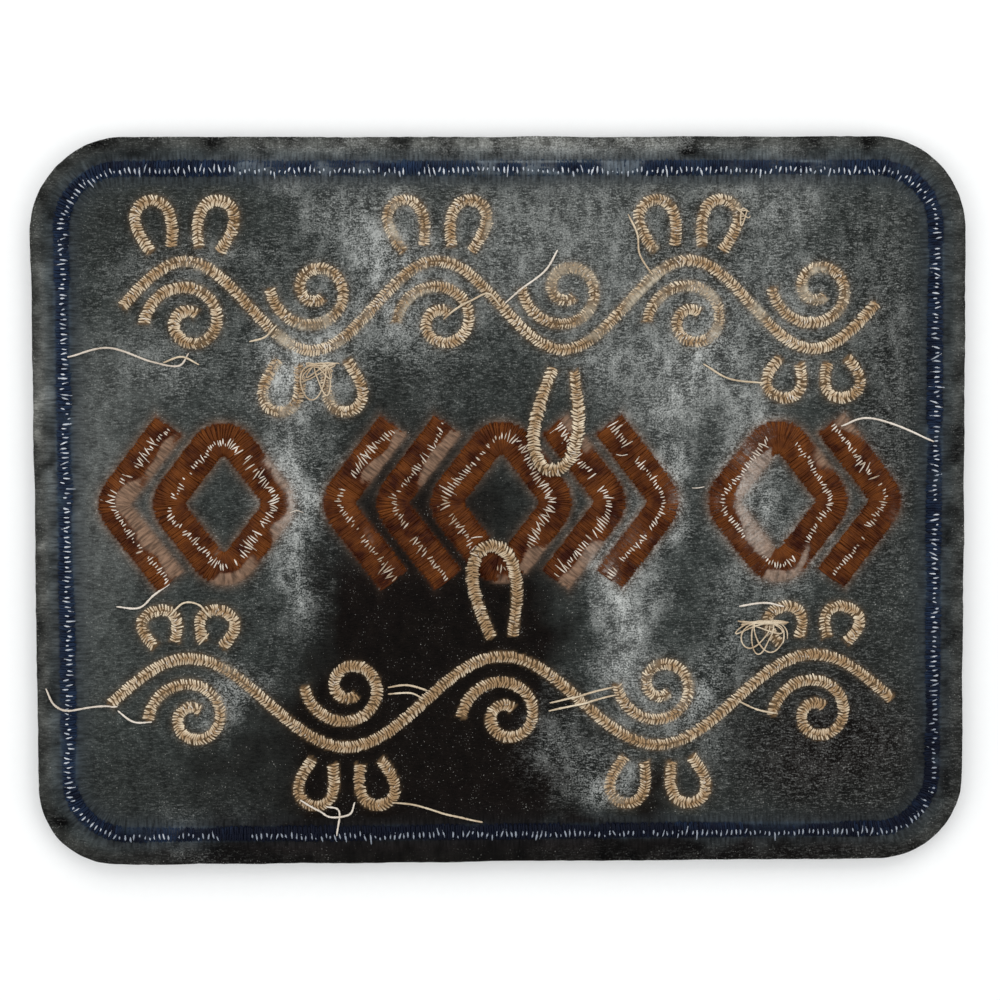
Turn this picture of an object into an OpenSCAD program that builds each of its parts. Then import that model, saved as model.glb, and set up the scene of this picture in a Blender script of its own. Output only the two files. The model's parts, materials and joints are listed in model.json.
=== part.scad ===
// Embroidered iron-on patch, lying on its face with the adhesive side up.
// Satin columns go through a thick twill and show on both sides of it. The hot-melt film
// on the back is melted round the columns, so they stand in openings in it.

/* [Patch] */
// Length of the cloth along X
patch_w = 82; // [80:1:92]
// Length of the cloth along Y
patch_h = 64; // [63:1:72]
// Corner radius at the front right, seen from above
corner_front_right = 7.4; // [6:0.1:9]
// Corner radius at the back right
corner_back_right = 8.2; // [6:0.1:9]
// Corner radius at the back left
corner_back_left = 8.3; // [6:0.1:9]
// Corner radius at the front left
corner_front_left = 6.9; // [6:0.1:9]

/* [Layers] */
// Height of the border's front relief, which the patch rests on
border_relief = 0.6; // [0.5:0.05:0.8]
// Thickness of the twill with its stabiliser
cloth_t = 1.1; // [1:0.1:2]
// Thickness of the adhesive film
film_t = 0.2; // [0.15:0.05:0.3]
// Thickness of the film left under a stitch column
film_floor = 0.08; // [0.06:0.01:0.1]
// Height of a stitch column's relief on the back
back_relief = 0.45; // [0.4:0.05:0.6]
// Height of the inner figures' relief on the front
front_relief = 0.26; // [0.2:0.02:0.28]
// Gap left between neighbouring pieces
gap = 0.02; // [0.01:0.01:0.04]

/* [Border] */
// Distance from the cut edge to the border column
border_inset = 1.85; // [1.5:0.05:2.2]
// Width of the border column
border_w = 1.8; // [1.5:0.1:2]
// Radius of the border's corners on its centre line
border_r = 5.2; // [4:0.1:6]

/* [Frieze] */
// Width of a brown satin column
brown_w = 3.1; // [2.6:0.1:3.1]
// Half width of a lozenge on its centre line
lozenge_a = 5.2; // [5:0.1:5.4]
// Half height of a lozenge on its centre line
lozenge_b = 6.8; // [6.4:0.1:7]
// Step from one column to the next chevron
chevron_step = 4.75; // [4.5:0.05:4.9]
// Distance from the middle lozenge to the side lozenges
lozenge_pitch = 24.4; // [24:0.1:25]
// Corner radius of a brown column on its centre line
brown_r = 1.75; // [1.7:0.05:2]

/* [Vines] */
// Width of a tan satin column
tan_w = 1.5; // [1.2:0.1:1.5]
// Height of the upper stem's middle
upper_y = 17.3; // [17:0.1:17.6]
// Height of the lower stem's middle
lower_y = -17.6; // [-17.8:0.1:-17.4]
// Across a leaf, between the centre lines of its two legs
leaf_w = 3; // [2.6:0.1:3]
// First radius of a curl
curl_r = 4; // [3.8:0.1:4.2]
// Last radius of a curl
curl_end_r = 0.95; // [0.9:0.05:1.1]
// Turns in a curl
curl_turns = 1.35; // [1.2:0.05:1.4]

/* [Ties] */
// Diameter of the thread that ties the front and back of a column together
tie_d = 0.8; // [0.6:0.1:0.9]
// Clearance round a tie in the twill and the film
tie_gap = 0.05; // [0.03:0.01:0.08]
// Spacing of the ties along a column
tie_pitch = 8; // [6:1:12]

/* [Hidden] */
$fn = 24;
CORNER_STEPS = 12;
BORDER_STEPS = 6;
FAN_STEPS = 4;
STEM_STEPS = 8;
CURL_STEPS = 18;
LEAF_STEPS = 12;
LONG_LEAF_STEPS = 24;
LONG_LEAF = 6;
FILM_CLEARANCE = 0.1;
LEAF_FOOT = 0.92;
LEAF_TILT = 15;
LEAF_SPREAD = 2.1;
LEAF_RISE = 1.75;
CURL_SHIFT = 0.35;
LIFT_NEAR = 0.5;
LIFT_FAR = 1.2;
SHOULDER = 0.45;
TAN_CROWN = 0.3;

cloth_z = border_relief;
cloth_top = cloth_z + cloth_t;
film_z = cloth_top + gap;
back_z = film_z + film_floor + gap;
front_z = cloth_z - gap;
lift = back_relief + gap;
front_lift = front_relief + gap;
border_x = patch_w / 2 - border_inset - border_w / 2;
border_y = patch_h / 2 - border_inset - border_w / 2;
navy = [0.11, 0.14, 0.2];
brown = [0.31, 0.17, 0.1];
tan_thread = [0.72, 0.6, 0.42];

// Half waves of each vine, left to right, and the length of the leaves at each of them
// Columns: tag, left end, half wave, middle height, swing, depth of a curl, leaf lengths
VINES = [
    ["upper", -33, 11, upper_y, 3.9, 5.35, [4.3, 4.4, 4.3, 9.8, 4.3, 3.3]],
    ["lower", -34.5, 13.8, lower_y, 4, 5.4, [3, 4, 9, 4, 3]],
];

// Columns: tag, middle of its lozenge, place counted from that lozenge, side
CHEVRONS = [
    ["far_left", -lozenge_pitch, 1, -1],
    ["left_outer", 0, 2, -1],
    ["left_inner", 0, 1, -1],
    ["right_inner", 0, 1, 1],
    ["right_outer", 0, 2, 1],
    ["far_right", lozenge_pitch, 1, 1],
];

// Columns: tag, middle along X
LOZENGES = [
    ["left", -lozenge_pitch],
    ["middle", 0],
    ["right", lozenge_pitch],
];

function mix(a, b, t) = a + (b - a) * t;
function unit(v) = v / norm(v);
function left_of(v) = [-v[1], v[0]];
function turned(v, angle) = [v[0] * cos(angle) - v[1] * sin(angle), v[0] * sin(angle) + v[1] * cos(angle)];
function wrap(i, n) = (i + n) % n;
function clamp01(t) = min(1, max(0, t));
function smooth(t) = t * t * (3 - 2 * t);
function total(list, i = 0) = i < len(list) ? list[i] + total(list, i + 1) : 0;

// A corner of radius r at b, between the lines to a and c
function fan(a, b, c, r, steps) =
    let(u = unit(a - b), v = unit(c - b))
    let(half = acos(u * v) / 2, middle = b + unit(u + v) * r / sin(half))
    let(first = b + u * r / tan(half) - middle, last = b + v * r / tan(half) - middle)
    let(sweep = sign(first[0] * last[1] - first[1] * last[0]) * (180 - 2 * half))
    [for (k = [0 : steps]) middle + turned(first, sweep * k / steps)];

// A closed outline with its own radius at each corner
function rounded_loop(points, radii, steps) =
    let(n = len(points))
    [for (i = [0 : n - 1])
        each fan(points[wrap(i - 1, n)], points[i], points[wrap(i + 1, n)], radii[i], steps)];

function frame_points(x, y) = [[x, -y], [x, y], [-x, y], [-x, -y]];

// Centre lines of the columns
function border_path() =
    rounded_loop(frame_points(border_x, border_y), [border_r, border_r, border_r, border_r], BORDER_STEPS);
function lozenge_path(x) = rounded_loop(
    [[x + lozenge_a, 0], [x, lozenge_b], [x - lozenge_a, 0], [x, -lozenge_b]],
    [brown_r, brown_r, brown_r, brown_r],
    FAN_STEPS
);
function chevron_path(x, place, side) =
    let(tip = x + side * (lozenge_a + place * chevron_step), tail = tip - side * lozenge_a)
    concat(
        [[tail, lozenge_b]],
        fan([tail, lozenge_b], [tip, 0], [tail, -lozenge_b], brown_r, FAN_STEPS),
        [[tail, -lozenge_b]]
    );
function stem_path(v) =
    [for (i = [0 : len(v[6]) * STEM_STEPS])
        let(half_waves = i / STEM_STEPS)
        [v[1] + half_waves * v[2], v[3] + v[4] * sin(180 * half_waves)]];
function side_of(k) = k % 2 == 0 ? 1 : -1;
function crest_x(v, k) = v[1] + v[2] * (k + 0.5);

// A spiral whose radius shrinks by the same factor each turn
function curl_path(v, k) =
    let(side = side_of(k), middle = [crest_x(v, k) + CURL_SHIFT, v[3] + side * (v[4] - v[5])])
    [for (i = [0 : CURL_STEPS])
        let(t = i / CURL_STEPS, r = curl_r * pow(curl_end_r / curl_r, t))
        let(a = 180 - side * 360 * curl_turns * t)
        middle + r * [cos(a), sin(a)]];

// A teardrop open at its foot: along is a sine of the parameter, across a cosine that widens with it
function leaf_path(foot, angle, length, width, steps) =
    let(belly = (width / 2 / cos(45) - LEAF_FOOT) / sin(45))
    [for (i = [0 : steps])
        let(a = 180 * i / steps, along = length * sin(a), across = cos(a) * (LEAF_FOOT + belly * sin(a)))
        foot + turned([along, across], angle)];
function paired_leaf(v, k, j) =
    let(side = side_of(k), x = (j == 0 ? -1 : 1) * LEAF_SPREAD)
    let(foot = [crest_x(v, k) + x, v[3] + side * (v[4] * cos(180 * x / v[2]) + LEAF_RISE)])
    leaf_path(foot, side * 90 - side * sign(x) * LEAF_TILT, v[6][k], leaf_w, LEAF_STEPS);
function long_leaf(v, k) =
    let(side = side_of(k))
    leaf_path(
        [crest_x(v, k), v[3] + side * (v[4] + LEAF_RISE)],
        side * (90 + LEAF_TILT / 2),
        v[6][k] - LEAF_RISE / 2,
        leaf_w * 1.25,
        LONG_LEAF_STEPS
    );

// Columns: node, colour, width, closed, centre line
BORDER = ["border_stitching", navy, border_w, true, border_path()];
BROWN = concat(
    [for (l = LOZENGES) [str("lozenge_", l[0]), brown, brown_w, true, lozenge_path(l[1])]],
    [for (c = CHEVRONS) [str("chevron_", c[0]), brown, brown_w, false, chevron_path(c[1], c[2], c[3])]]
);
TAN = [for (v = VINES) each concat(
    [[str("stem_", v[0]), tan_thread, tan_w, false, stem_path(v)]],
    [for (k = [0 : len(v[6]) - 1])
        [str("curl_", v[0], "_", k + 1), tan_thread, tan_w, false, curl_path(v, k)]],
    [for (k = [0 : len(v[6]) - 1]) each v[6][k] > LONG_LEAF
        ? [[str("leaf_", v[0], "_", k + 1, "_long"), tan_thread, tan_w, false, long_leaf(v, k)]]
        : [for (j = [0, 1])
            [str("leaf_", v[0], "_", k + 1, ["a", "b"][j]), tan_thread, tan_w, false, paired_leaf(v, k, j)]]]
)];
FIGURES = concat([BORDER], BROWN, TAN);

function is_tan(f) = f[1] == tan_thread;
function is_border(f) = f[1] == navy;

// Direction square to a centre line at a station, stretched so that a bend keeps its width
function across_at(path, i, closed) =
    let(n = len(path), first = !closed && i == 0, last = !closed && i == n - 1)
    let(before = first ? path[1] - path[0] : path[i] - path[wrap(i - 1, n)])
    let(after = last ? before : path[wrap(i + 1, n)] - path[i])
    let(a = left_of(unit(before)), b = left_of(unit(after)), m = unit(a + b))
    m / (m * b);

// Distance from a point to a run of straight stretches
function to_stretch(p, a, b) = norm(p - mix(a, b, clamp01((p - a) * (b - a) / ((b - a) * (b - a)))));
function to_path(p, path, closed) =
    let(n = len(path))
    min([for (i = [0 : n - (closed ? 1 : 2)]) to_stretch(p, path[i], path[wrap(i + 1, n)])]);

// Clear distance from each station of a column to the nearest brown column
function clearances(f) =
    [for (p = f[4]) min([for (b = BROWN) to_path(p, b[4], b[3])]) - (brown_w + f[2]) / 2];

// How far a column is raised at each station: 0 on its own layer, 1 where it passes over a brown one
function raised(f) =
    let(clear = clearances(f), crosses = is_tan(f) && min(clear) < 0)
    [for (c = clear) crosses ? smooth(clamp01((LIFT_FAR - c) / (LIFT_FAR - LIFT_NEAR))) : 0];

// Stations that carry a tie: evenly spaced, and none where the column is raised
function path_length(path, closed) =
    let(n = len(path))
    total([for (i = [0 : n - (closed ? 1 : 2)]) norm(path[wrap(i + 1, n)] - path[i])]);
function tie_stations(f) =
    let(n = len(f[4]), count = max(2, round(path_length(f[4], f[3]) / tie_pitch)), up = raised(f))
    [for (k = [0 : count - 1])
        let(i = f[3] ? floor(k * n / count) : 1 + round(k * (n - 3) / (count - 1)))
        if (up[i] == 0) i];

// Cross-section of a column from its flat base to its crown, full for a wide one
function section(w, flat, crown, full) = full
    ? [
        [-w / 2, flat],
        [-w / 2, mix(flat, crown, SHOULDER)],
        [-w / 4, crown],
        [w / 4, crown],
        [w / 2, mix(flat, crown, SHOULDER)],
        [w / 2, flat],
    ]
    : [[-w / 2, flat], [-w * TAN_CROWN, crown], [w * TAN_CROWN, crown], [w / 2, flat]];

// A section carried along a centre line, raised by its own amount at each station
module sweep(path, closed, profile, rise) {
    n = len(path);
    m = len(profile);
    points = [
        for (i = [0 : n - 1])
            let(across = across_at(path, i, closed))
            for (q = profile)
                [path[i][0] + across[0] * q[0], path[i][1] + across[1] * q[0], q[1] + rise[i]]
    ];
    sides = [
        for (i = [0 : n - (closed ? 1 : 2)])
            for (j = [0 : m - 1])
                let(k = wrap(i + 1, n), a = i * m + j, b = i * m + wrap(j + 1, m))
                let(c = k * m + j, d = k * m + wrap(j + 1, m))
                each [[a, c, b], [b, c, d]]
    ];
    last = (n - 1) * m;
    ends = closed ? [] : [for (j = [1 : m - 2]) each [[0, j, j + 1], [last, last + j + 1, last + j]]];
    upward = profile[1][1] > profile[0][1];
    polyhedron(points, [for (t = concat(sides, ends)) upward ? [t[0], t[2], t[1]] : t]);
}

module ties(f, radius) {
    for (i = tie_stations(f))
        translate([f[4][i][0], f[4][i][1], front_z - front_relief / 2])
            cylinder(h = back_z - front_z + (front_relief + back_relief) / 2, r = radius);
}

// One embroidered figure: its column on the back, the one on the front and the ties between
module figure(f) {
    up = raised(f);
    relief = is_border(f) ? front_z : front_relief;
    color(f[1]) {
        sweep(f[4], f[3], section(f[2], back_z, back_z + back_relief, !is_tan(f)), lift * up);
        sweep(f[4], f[3], section(f[2], front_z, front_z - relief, !is_tan(f)), -front_lift * up);
        ties(f, tie_d / 2);
    }
}

// Plan of the opening that a column needs in the film
module opening(f) {
    path = f[4];
    n = len(path);
    half = f[2] / 2 + FILM_CLEARANCE;
    run = f[3] ? path : concat(
        [path[0] + unit(path[0] - path[1]) * FILM_CLEARANCE],
        [for (i = [1 : n - 2]) path[i]],
        [path[n - 1] + unit(path[n - 1] - path[n - 2]) * FILM_CLEARANCE]
    );
    left = [for (i = [0 : n - 1]) run[i] + across_at(run, i, f[3]) * half];
    right = [for (i = [0 : n - 1]) run[i] - across_at(run, i, f[3]) * half];
    if (f[3]) {
        difference() {
            polygon(right);
            polygon(left);
        }
    } else {
        polygon(concat(left, [for (i = [n - 1 : -1 : 0]) right[i]]));
    }
}

function patch_outline() = rounded_loop(
    frame_points(patch_w / 2, patch_h / 2),
    [corner_front_right, corner_back_right, corner_back_left, corner_front_left],
    CORNER_STEPS
);

module ground_cloth() {
    color([0.13, 0.14, 0.16])
        difference() {
            translate([0, 0, cloth_z]) linear_extrude(cloth_t) polygon(patch_outline());
            for (f = FIGURES) ties(f, tie_d / 2 + tie_gap);
        }
}

module film_openings() {
    for (f = FIGURES) {
        translate([0, 0, film_z + film_floor]) linear_extrude(film_t) opening(f);
    }
}

module adhesive_film() {
    color([0.26, 0.27, 0.27])
        difference() {
            difference() {
                translate([0, 0, film_z]) linear_extrude(film_t) polygon(patch_outline());
                film_openings();
            }
            for (f = FIGURES) ties(f, tie_d / 2 + tie_gap);
        }
}

ground_cloth();
adhesive_film();
for (f = FIGURES) {
    figure(f);
}
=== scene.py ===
"""Looks of an embroidered iron-on patch that lies on its face, adhesive side up.

Each stitch is a thread of its own, the adhesive film is one surface that rises beside the
stitching and closes over parts of it, and loose thread ends lie on top.
Sizes are in millimetres, as in the part's source, until a mesh is made.
"""
import collections
import functools
import json
import math

import bpy
import numpy as np
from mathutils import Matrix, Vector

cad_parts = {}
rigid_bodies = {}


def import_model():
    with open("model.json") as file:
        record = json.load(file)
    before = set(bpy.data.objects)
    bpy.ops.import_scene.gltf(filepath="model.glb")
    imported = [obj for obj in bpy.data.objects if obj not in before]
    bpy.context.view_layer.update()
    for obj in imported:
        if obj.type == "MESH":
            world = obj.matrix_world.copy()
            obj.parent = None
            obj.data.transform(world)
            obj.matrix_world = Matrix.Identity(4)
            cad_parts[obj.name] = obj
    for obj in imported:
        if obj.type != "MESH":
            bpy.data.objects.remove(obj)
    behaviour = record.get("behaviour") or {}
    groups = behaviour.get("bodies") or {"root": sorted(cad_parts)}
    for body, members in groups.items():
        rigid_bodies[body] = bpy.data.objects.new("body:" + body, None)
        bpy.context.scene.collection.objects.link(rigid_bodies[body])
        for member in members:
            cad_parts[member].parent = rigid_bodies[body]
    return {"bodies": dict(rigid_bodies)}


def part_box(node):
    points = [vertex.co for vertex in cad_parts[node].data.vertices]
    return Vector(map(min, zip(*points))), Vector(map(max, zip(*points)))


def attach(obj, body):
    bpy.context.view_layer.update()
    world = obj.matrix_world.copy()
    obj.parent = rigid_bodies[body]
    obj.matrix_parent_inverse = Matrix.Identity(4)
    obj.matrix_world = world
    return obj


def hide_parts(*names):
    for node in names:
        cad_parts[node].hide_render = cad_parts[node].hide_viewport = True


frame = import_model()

bl_info = {
    "name": "Iron-on patch",
    "version": (1, 0, 0),
    "blender": (4, 5, 0),
    "location": "View3D > Sidebar > Patch",
    "description": "Threads, adhesive film and cloth of an embroidered iron-on patch",
    "category": "Object",
}

MM = 0.001
# A part without joints is one body
BODY = next(iter(frame["bodies"]))


def frame_box(node):
    """Lowest and highest corner of a node of the frame, in millimetres."""
    return [[round(c / MM, 3) for c in corner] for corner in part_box(node)]


CLOTH_LOW, CLOTH_HIGH = frame_box("ground_cloth")
PATCH_W, PATCH_H = CLOTH_HIGH[0] - CLOTH_LOW[0], CLOTH_HIGH[1] - CLOTH_LOW[1]
CLOTH_Z, CLOTH_TOP = CLOTH_LOW[2], CLOTH_HIGH[2]
# Width of the border, and the corner radius and half sizes of its centre line
BORDER_W, BORDER_R = 1.8, 5.2
BORDER_X, BORDER_Y = (round(c - BORDER_W / 2, 3) for c in frame_box("border_stitching")[1][:2])

# Corners of the cloth and centre lines of the columns, as in the part's source
CORNER_FRONT_RIGHT, CORNER_BACK_RIGHT, CORNER_BACK_LEFT, CORNER_FRONT_LEFT = 7.4, 8.2, 8.3, 6.9
BROWN_W, LOZENGE_A, LOZENGE_B, CHEVRON_STEP, LOZENGE_PITCH, BROWN_R = 3.1, 5.2, 6.8, 4.75, 24.4, 1.75
TAN_W, LEAF_W, CURL_R, CURL_END_R, CURL_TURNS = 1.5, 3.0, 4.0, 0.95, 1.35
LEAF_FOOT, LEAF_TILT, LEAF_SPREAD, LEAF_RISE, CURL_SHIFT = 0.92, 15, 2.1, 1.75, 0.35
# A leaf longer than this stands alone, and is wider by this share
LONG_LEAF, LONG_LEAF_SHARE = 6, 1.25
# A tan column is raised in full where it is nearer than this to a brown one, and not at all beyond that
LIFT_NEAR, LIFT_FAR = 0.5, 1.2
# How far it is raised on the back and on the front
LIFT, FRONT_LIFT = 0.47, 0.28

# Heights: foot and top of the film, and foot and crown of a column on the back
FILM_FOOT, FILM_TOP = 1.705, 1.86
BACK_FOOT, BACK_CROWN = 1.80, 0.38
# The power of the distance from the middle with which a column's crown falls off
CROWN_POWER = 2.6

Vine = collections.namedtuple("Vine", "tag start half_wave middle swing curl_depth leaves")
VINES = [
    Vine("upper", -33, 11, 17.3, 3.9, 5.35, [4.3, 4.4, 4.3, 9.8, 4.3, 3.3]),
    Vine("lower", -34.5, 13.8, -17.6, 4, 5.4, [3, 4, 9, 4, 3]),
]
# Columns: tag, middle of its lozenge, place counted from that lozenge, side
CHEVRONS = [
    ("far_left", -LOZENGE_PITCH, 1, -1),
    ("left_outer", 0, 2, -1),
    ("left_inner", 0, 1, -1),
    ("right_inner", 0, 1, 1),
    ("right_outer", 0, 2, 1),
    ("far_right", LOZENGE_PITCH, 1, 1),
]
LOZENGES = [("left", -LOZENGE_PITCH), ("middle", 0), ("right", LOZENGE_PITCH)]

# Painted light on the film, in broad soft ellipses. Where the first share is above zero it is painted sheen,
# that lightens the film and lets it cover the threads more; below zero it is painted shade, mostly in the
# lower half, that darkens the film and the threads on it. The second share is painted sheen broken into
# white grains, painted glints.
# Columns: middle x, middle y, half length, half width, turn in degrees, sheen (shade below zero), glints
SHEEN_SHADE_PATCHES = np.array([
    (-10.9, 21.4, 9.5, 3.8, -66, 0.3, 0.6),
    (8.8, 21.9, 16, 8, 0, 0.34, 0.42),
    (16.5, 22.5, 4.5, 3.2, 0, -0.35, -0.1),
    (23.6, 25.8, 4.5, 2.2, 0, 0.25, 0.3),
    (18, 15, 4.5, 2.8, 70, 0.1, 0.5),
    (10.5, 12.3, 5, 2.8, 20, 0.1, 0.35),
    (26, 17, 5, 3.6, 100, 0.1, 0.3),
    (-17.3, 12.6, 4.5, 3, 30, 0.9, 0.95),
    (-29.8, 12.3, 4, 3, 0, 0.2, 0.25),
    (-17.8, 0, 8.5, 2.2, 90, 0.8, 0.85),
    (21.5, 1, 9, 2.2, 85, 0.25, 0.7),
    (26, -5, 5, 2.5, 80, 0.2, 0.4),
    (15, 1, 7.5, 1.7, 84, 0.2, 0.7),
    (11, -11, 8.5, 2.3, 96, 0.8, 0.85),
    (5.3, -21, 4.5, 3.6, 60, 0, 0.35),
    (9.0, -25.2, 4, 2.2, 12, 0.2, 0.65),
    (17, -17.5, 4.5, 3, 100, 0.05, 0.3),
    (-25, -17, 3.6, 2, 30, 0.1, 0.65),
    (-28, -28.9, 2.4, 1.6, 0, 0.2, 0.5),
    (-35.5, 1.8, 13, 4.5, 90, 0.42, 0),
    (-31, 24, 8, 6, 0, -0.22, 0),
    (34, 16, 12, 4, 90, -0.3, 0.2),
    (-20.1, 28.9, 4, 1.3, 0, 0.4, 0.5),
    (3.5, 29.9, 9.5, 1.2, 0, 0.5, 0.5),
    (24.9, 29.2, 4.2, 1, 0, 0.4, 0.4),
    (-6.5, -12.5, 18, 10, 96, -1.3, -0.16),
    (-9, -27, 15, 5, 0, -0.8, -0.08),
    (16.5, 10.2, 6.5, 3.4, 0, 0.45, 0.4),
    (2.5, -13, 6, 3.2, 90, -0.55, -0.15),
    (-17, -19.5, 6, 4, 0, -0.55, -0.12),
    (-25.5, -22, 4, 2, 0, -0.35, -0.1),
    (13.2, -25.6, 3.4, 2, 90, -0.75, -0.35),
    (8.7, -20.7, 2.5, 2, 90, -0.35, -0.1),
    (-30, -25.5, 9, 3, 0, -0.22, 0),
    (-22, 17.5, 13, 7, 0, -0.06, 0.12),
    (-5, -29.6, 24, 1.3, 0, -0.6, 0),
    (0, -31.6, 42, 1.6, 0, -1.0, 0),
    (30, -22, 11, 8, 0, -0.95, 0.12),
    (34, 0, 10, 4, 90, -0.4, 0.12),
    (-10, 31.3, 20, 0.7, 0, 0.3, 0.15),
    (13, 31.3, 10, 0.7, 0, 0.3, 0.3),
    (-39.8, 0, 0.8, 20, 0, 0.45, 0),
    (-17.8, -8.6, 3, 2, 90, 0.15, 0.4),
    (17.5, -17, 3, 2.2, 60, 0.1, 0.35),
    (21.9, -12.8, 3, 1.6, 80, 0.1, 0.3),
    (-28, 21, 7, 1.6, 8, 0.05, 0.25),
    (8.7, 20.8, 3, 2, 0, -0.2, -0.15),
])

# Loose thread ends, from the stitching outwards
# Columns: thread, points along it
TAILS = [
    ("cream", [(-27.3, 13.2), (-28.2, 12.1), (-30.6, 12.5), (-34.3, 13.7), (-37.8, 12.9)]),
    ("tan", [(0.0, 17.2), (-1.1, 18.3), (-2.6, 17.7), (-3.9, 17.0), (-5.0, 16.1)]),
    ("cream", [(0.4, 17.5), (1.8, 18.7), (3.9, 20.3), (5.0, 22.1)]),
    ("tan", [(13.3, 19.9), (12.2, 21.7), (12.0, 23.4), (11.2, 25.2)]),
    ("cream", [(29.9, 6.6), (32.2, 7.3), (35.0, 6.6), (38.1, 5.2)]),
    ("cream", [(-29.2, -7.0), (-30.6, -8.0), (-31.9, -9.1), (-33.9, -9.0)]),
    ("cream", [(-33.9, -17.8), (-35.7, -17.8), (-38.1, -18.1), (-39.4, -17.7), (-40.2, -16.2)]),
    ("cream", [(-13.1, -26.5), (-13.6, -27.6), (-15.3, -27.8), (-16.4, -27.1), (-17.9, -26.2)]),
    ("cream", [(-15.6, -26.8), (-14.5, -27.3), (-14.7, -29.4)]),
    ("tan", [(-9.8, -26.5), (-7.4, -26.9), (-5.2, -27.6), (-1.8, -28.4)]),
    ("tan", [(-29.2, -9.8), (-28.0, -8.7), (-26.6, -8.9), (-25.6, -10.0)]),
    ("tan", [(-25.8, -11.4), (-26.7, -12.4)]),
    ("cream", [(24.9, -9.3), (23.2, -9.0), (21.0, -9.3)]),
]
# Threads that run from one figure to the next
# Columns: thread, points along it
JUMPS = [
    ("tan", [(17.8, 12.1), (20.1, 10.8), (23.1, 10.4)]),
    ("cream", [(-33.9, -18.2), (-32.5, -19.2), (-30.9, -19.2)]),
    ("tan", [(4.2, -17.8), (7.0, -17.1), (9.8, -16.4)]),
    ("tan", [(4.1, -18.5), (6.8, -17.9), (10.0, -17.1)]),
    ("tan", [(-10.1, -16.3), (-8.4, -16.1), (-6.6, -16.6)]),
    ("tan", [(-10.1, -16.9), (-8.2, -16.8), (-7.0, -17.3)]),
    ("tan", [(20.9, -17.7), (22.6, -18.5), (24.3, -18.8)]),
    ("tan", [(-22.0, 14.2), (-20.6, 14.6), (-19.6, 15.6)]),
    ("tan", [(-29.5, 12.4), (-27.9, 12.9), (-26.4, 12.2)]),
]
# Short ends of bobbin thread on the frieze
# Columns: thread, points along it
STUBS = [
    ("cream", [(-12.4, 4.3), (-11.9, 4.2), (-11.4, 3.9)]),
    ("cream", [(-18.6, -0.8), (-18.0, -0.6), (-17.4, -0.8)]),
    ("cream", [(10.1, 4.2), (10.6, 4.1), (11.1, 4.2)]),
    ("cream", [(16.8, 1.2), (17.3, 1.2), (17.9, 1.3)]),
    ("cream", [(-2.7, -3.1), (-2.2, -3.0), (-1.7, -3.0)]),
]
# Tangles of loose loops
# Columns: thread, middle x, middle y, half length, half width, number of loops
NESTS = [
    ("tan", 23.0, -10.7, 2.3, 1.5, 7),
    ("tan", -15.9, 12.2, 1.5, 1.7, 7),
    ("tan", 21.3, 25.6, 0.7, 0.8, 2),
]

# Points on each bend of a line, and distance from one point of a column's line to the next
FINE, SPACING = 16, 0.1
NAVY, BROWN, TAN = 0, 1, 2
WORDS = ("navy", "brown", "tan")

# How each thread is stitched. Seen is the width of a column on the back. Ragged is how unevenly strands
# start at the edge. Pitch, strand and tick_width are shares of the sizes in the panel. Legs are the ways in
# which strands leave a needle hole. Lean is how far a strand runs on before the middle, and meet how far
# past it it ends, as a share of the width. Ticks is the share of stitches that show bobbin thread.
# Tick_slant is in radians, tick_shift is the way the ticks lie off the middle, tick_drift how far they
# wander from it, and pulled how much longer they are where the thread is slack. Front_z is how far the front
# strands stay above the floor, and front_core how deep their filling is. The last field is painted shade:
# how much darker the thread is where the film is painted darker.
Stitch = collections.namedtuple("Stitch", (
    "seen ragged pitch strand legs lean meet ticks tick_length tick_width tick_slant tick_shift tick_drift "
    "pulled front_z front_core soaked"))
STITCHES = {
    NAVY: Stitch(1.5, 0.08, 1, 1.2, (-1, 1), 0.06, 0.09, 0.97, 0.72, 1.05, 0.2, (0.1, -0.27), 0.3,
                 0, 0.01, 0.36, 2.5),
    BROWN: Stitch(3.05, 0.07, 0.62, 1.06, (-1, 1), 0.05, 0.09, 0.84, 0.55, 0.93, 0.2, (0, 0), 0.8,
                  0.8, 0.33, 0.1, 0.8),
    TAN: Stitch(1.08, 0.08, 0.52, 0.86, (1,), 0.17, 0.045, 0.1, 0.35, 0.8, 0.3, (0, 0), 0.2,
                0, 0.33, 0.1, 0.8),
}
# How unevenly needle holes, the heights of strands and the bobbin ticks lie, in millimetres
HOLE_SCATTER, HEIGHT_SCATTER, TICK_SCATTER = 0.03, 0.018, 0.09
# Rings of a leg of a stitch from its needle hole inwards, and of a bobbin tick from end to end
# Columns: share of its reach, height, share of its radius
LEG = np.array([(0, -0.05, 0.78), (0.2, 0.01, 1), (0.65, 0.01, 1), (1, -0.1, 0.78)]).T
TICK = np.array([(-1, -0.02, 0.6), (0, 0.1, 1), (1, -0.02, 0.6)]).T
# Section of the filling under a column
# Columns: share of half the width, share of the height
PAD = np.array([(-0.9, 0), (-0.62, 0.72), (0, 1), (0.62, 0.72), (0.9, 0)]).T
# Sides of a strand and of a loose thread, and the distance between rings of the filling
STRAND_SIDES, LOOSE_SIDES, PAD_STEP = 5, 7, 0.7
# How high the threads of a column stand over its crown
THREAD_RISE = 0.1


def linear(code):
    """A colour from its sRGB hex value to linear light, with an alpha of 1."""
    parts = [int(code[i : i + 2], 16) / 255 for i in (1, 3, 5)]
    return tuple(c / 12.92 if c <= 0.04045 else ((c + 0.055) / 1.055) ** 2.4 for c in parts) + (1.0,)


def step(value, low=0, high=1):
    """A cubic step from 0 to 1 as a value goes from low to high."""
    t = np.clip((value - low) / (high - low), 0, 1)
    return t * t * (3 - 2 * t)


def fade(distance, reach):
    """1 up to an edge, and past it the exponential of minus the distance over the reach."""
    return np.exp(-np.maximum(distance, 0) / reach)


def blend(a, b, share):
    """A value or colour a share of the way from a to b."""
    return a * (1 - share) + b * share


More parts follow.
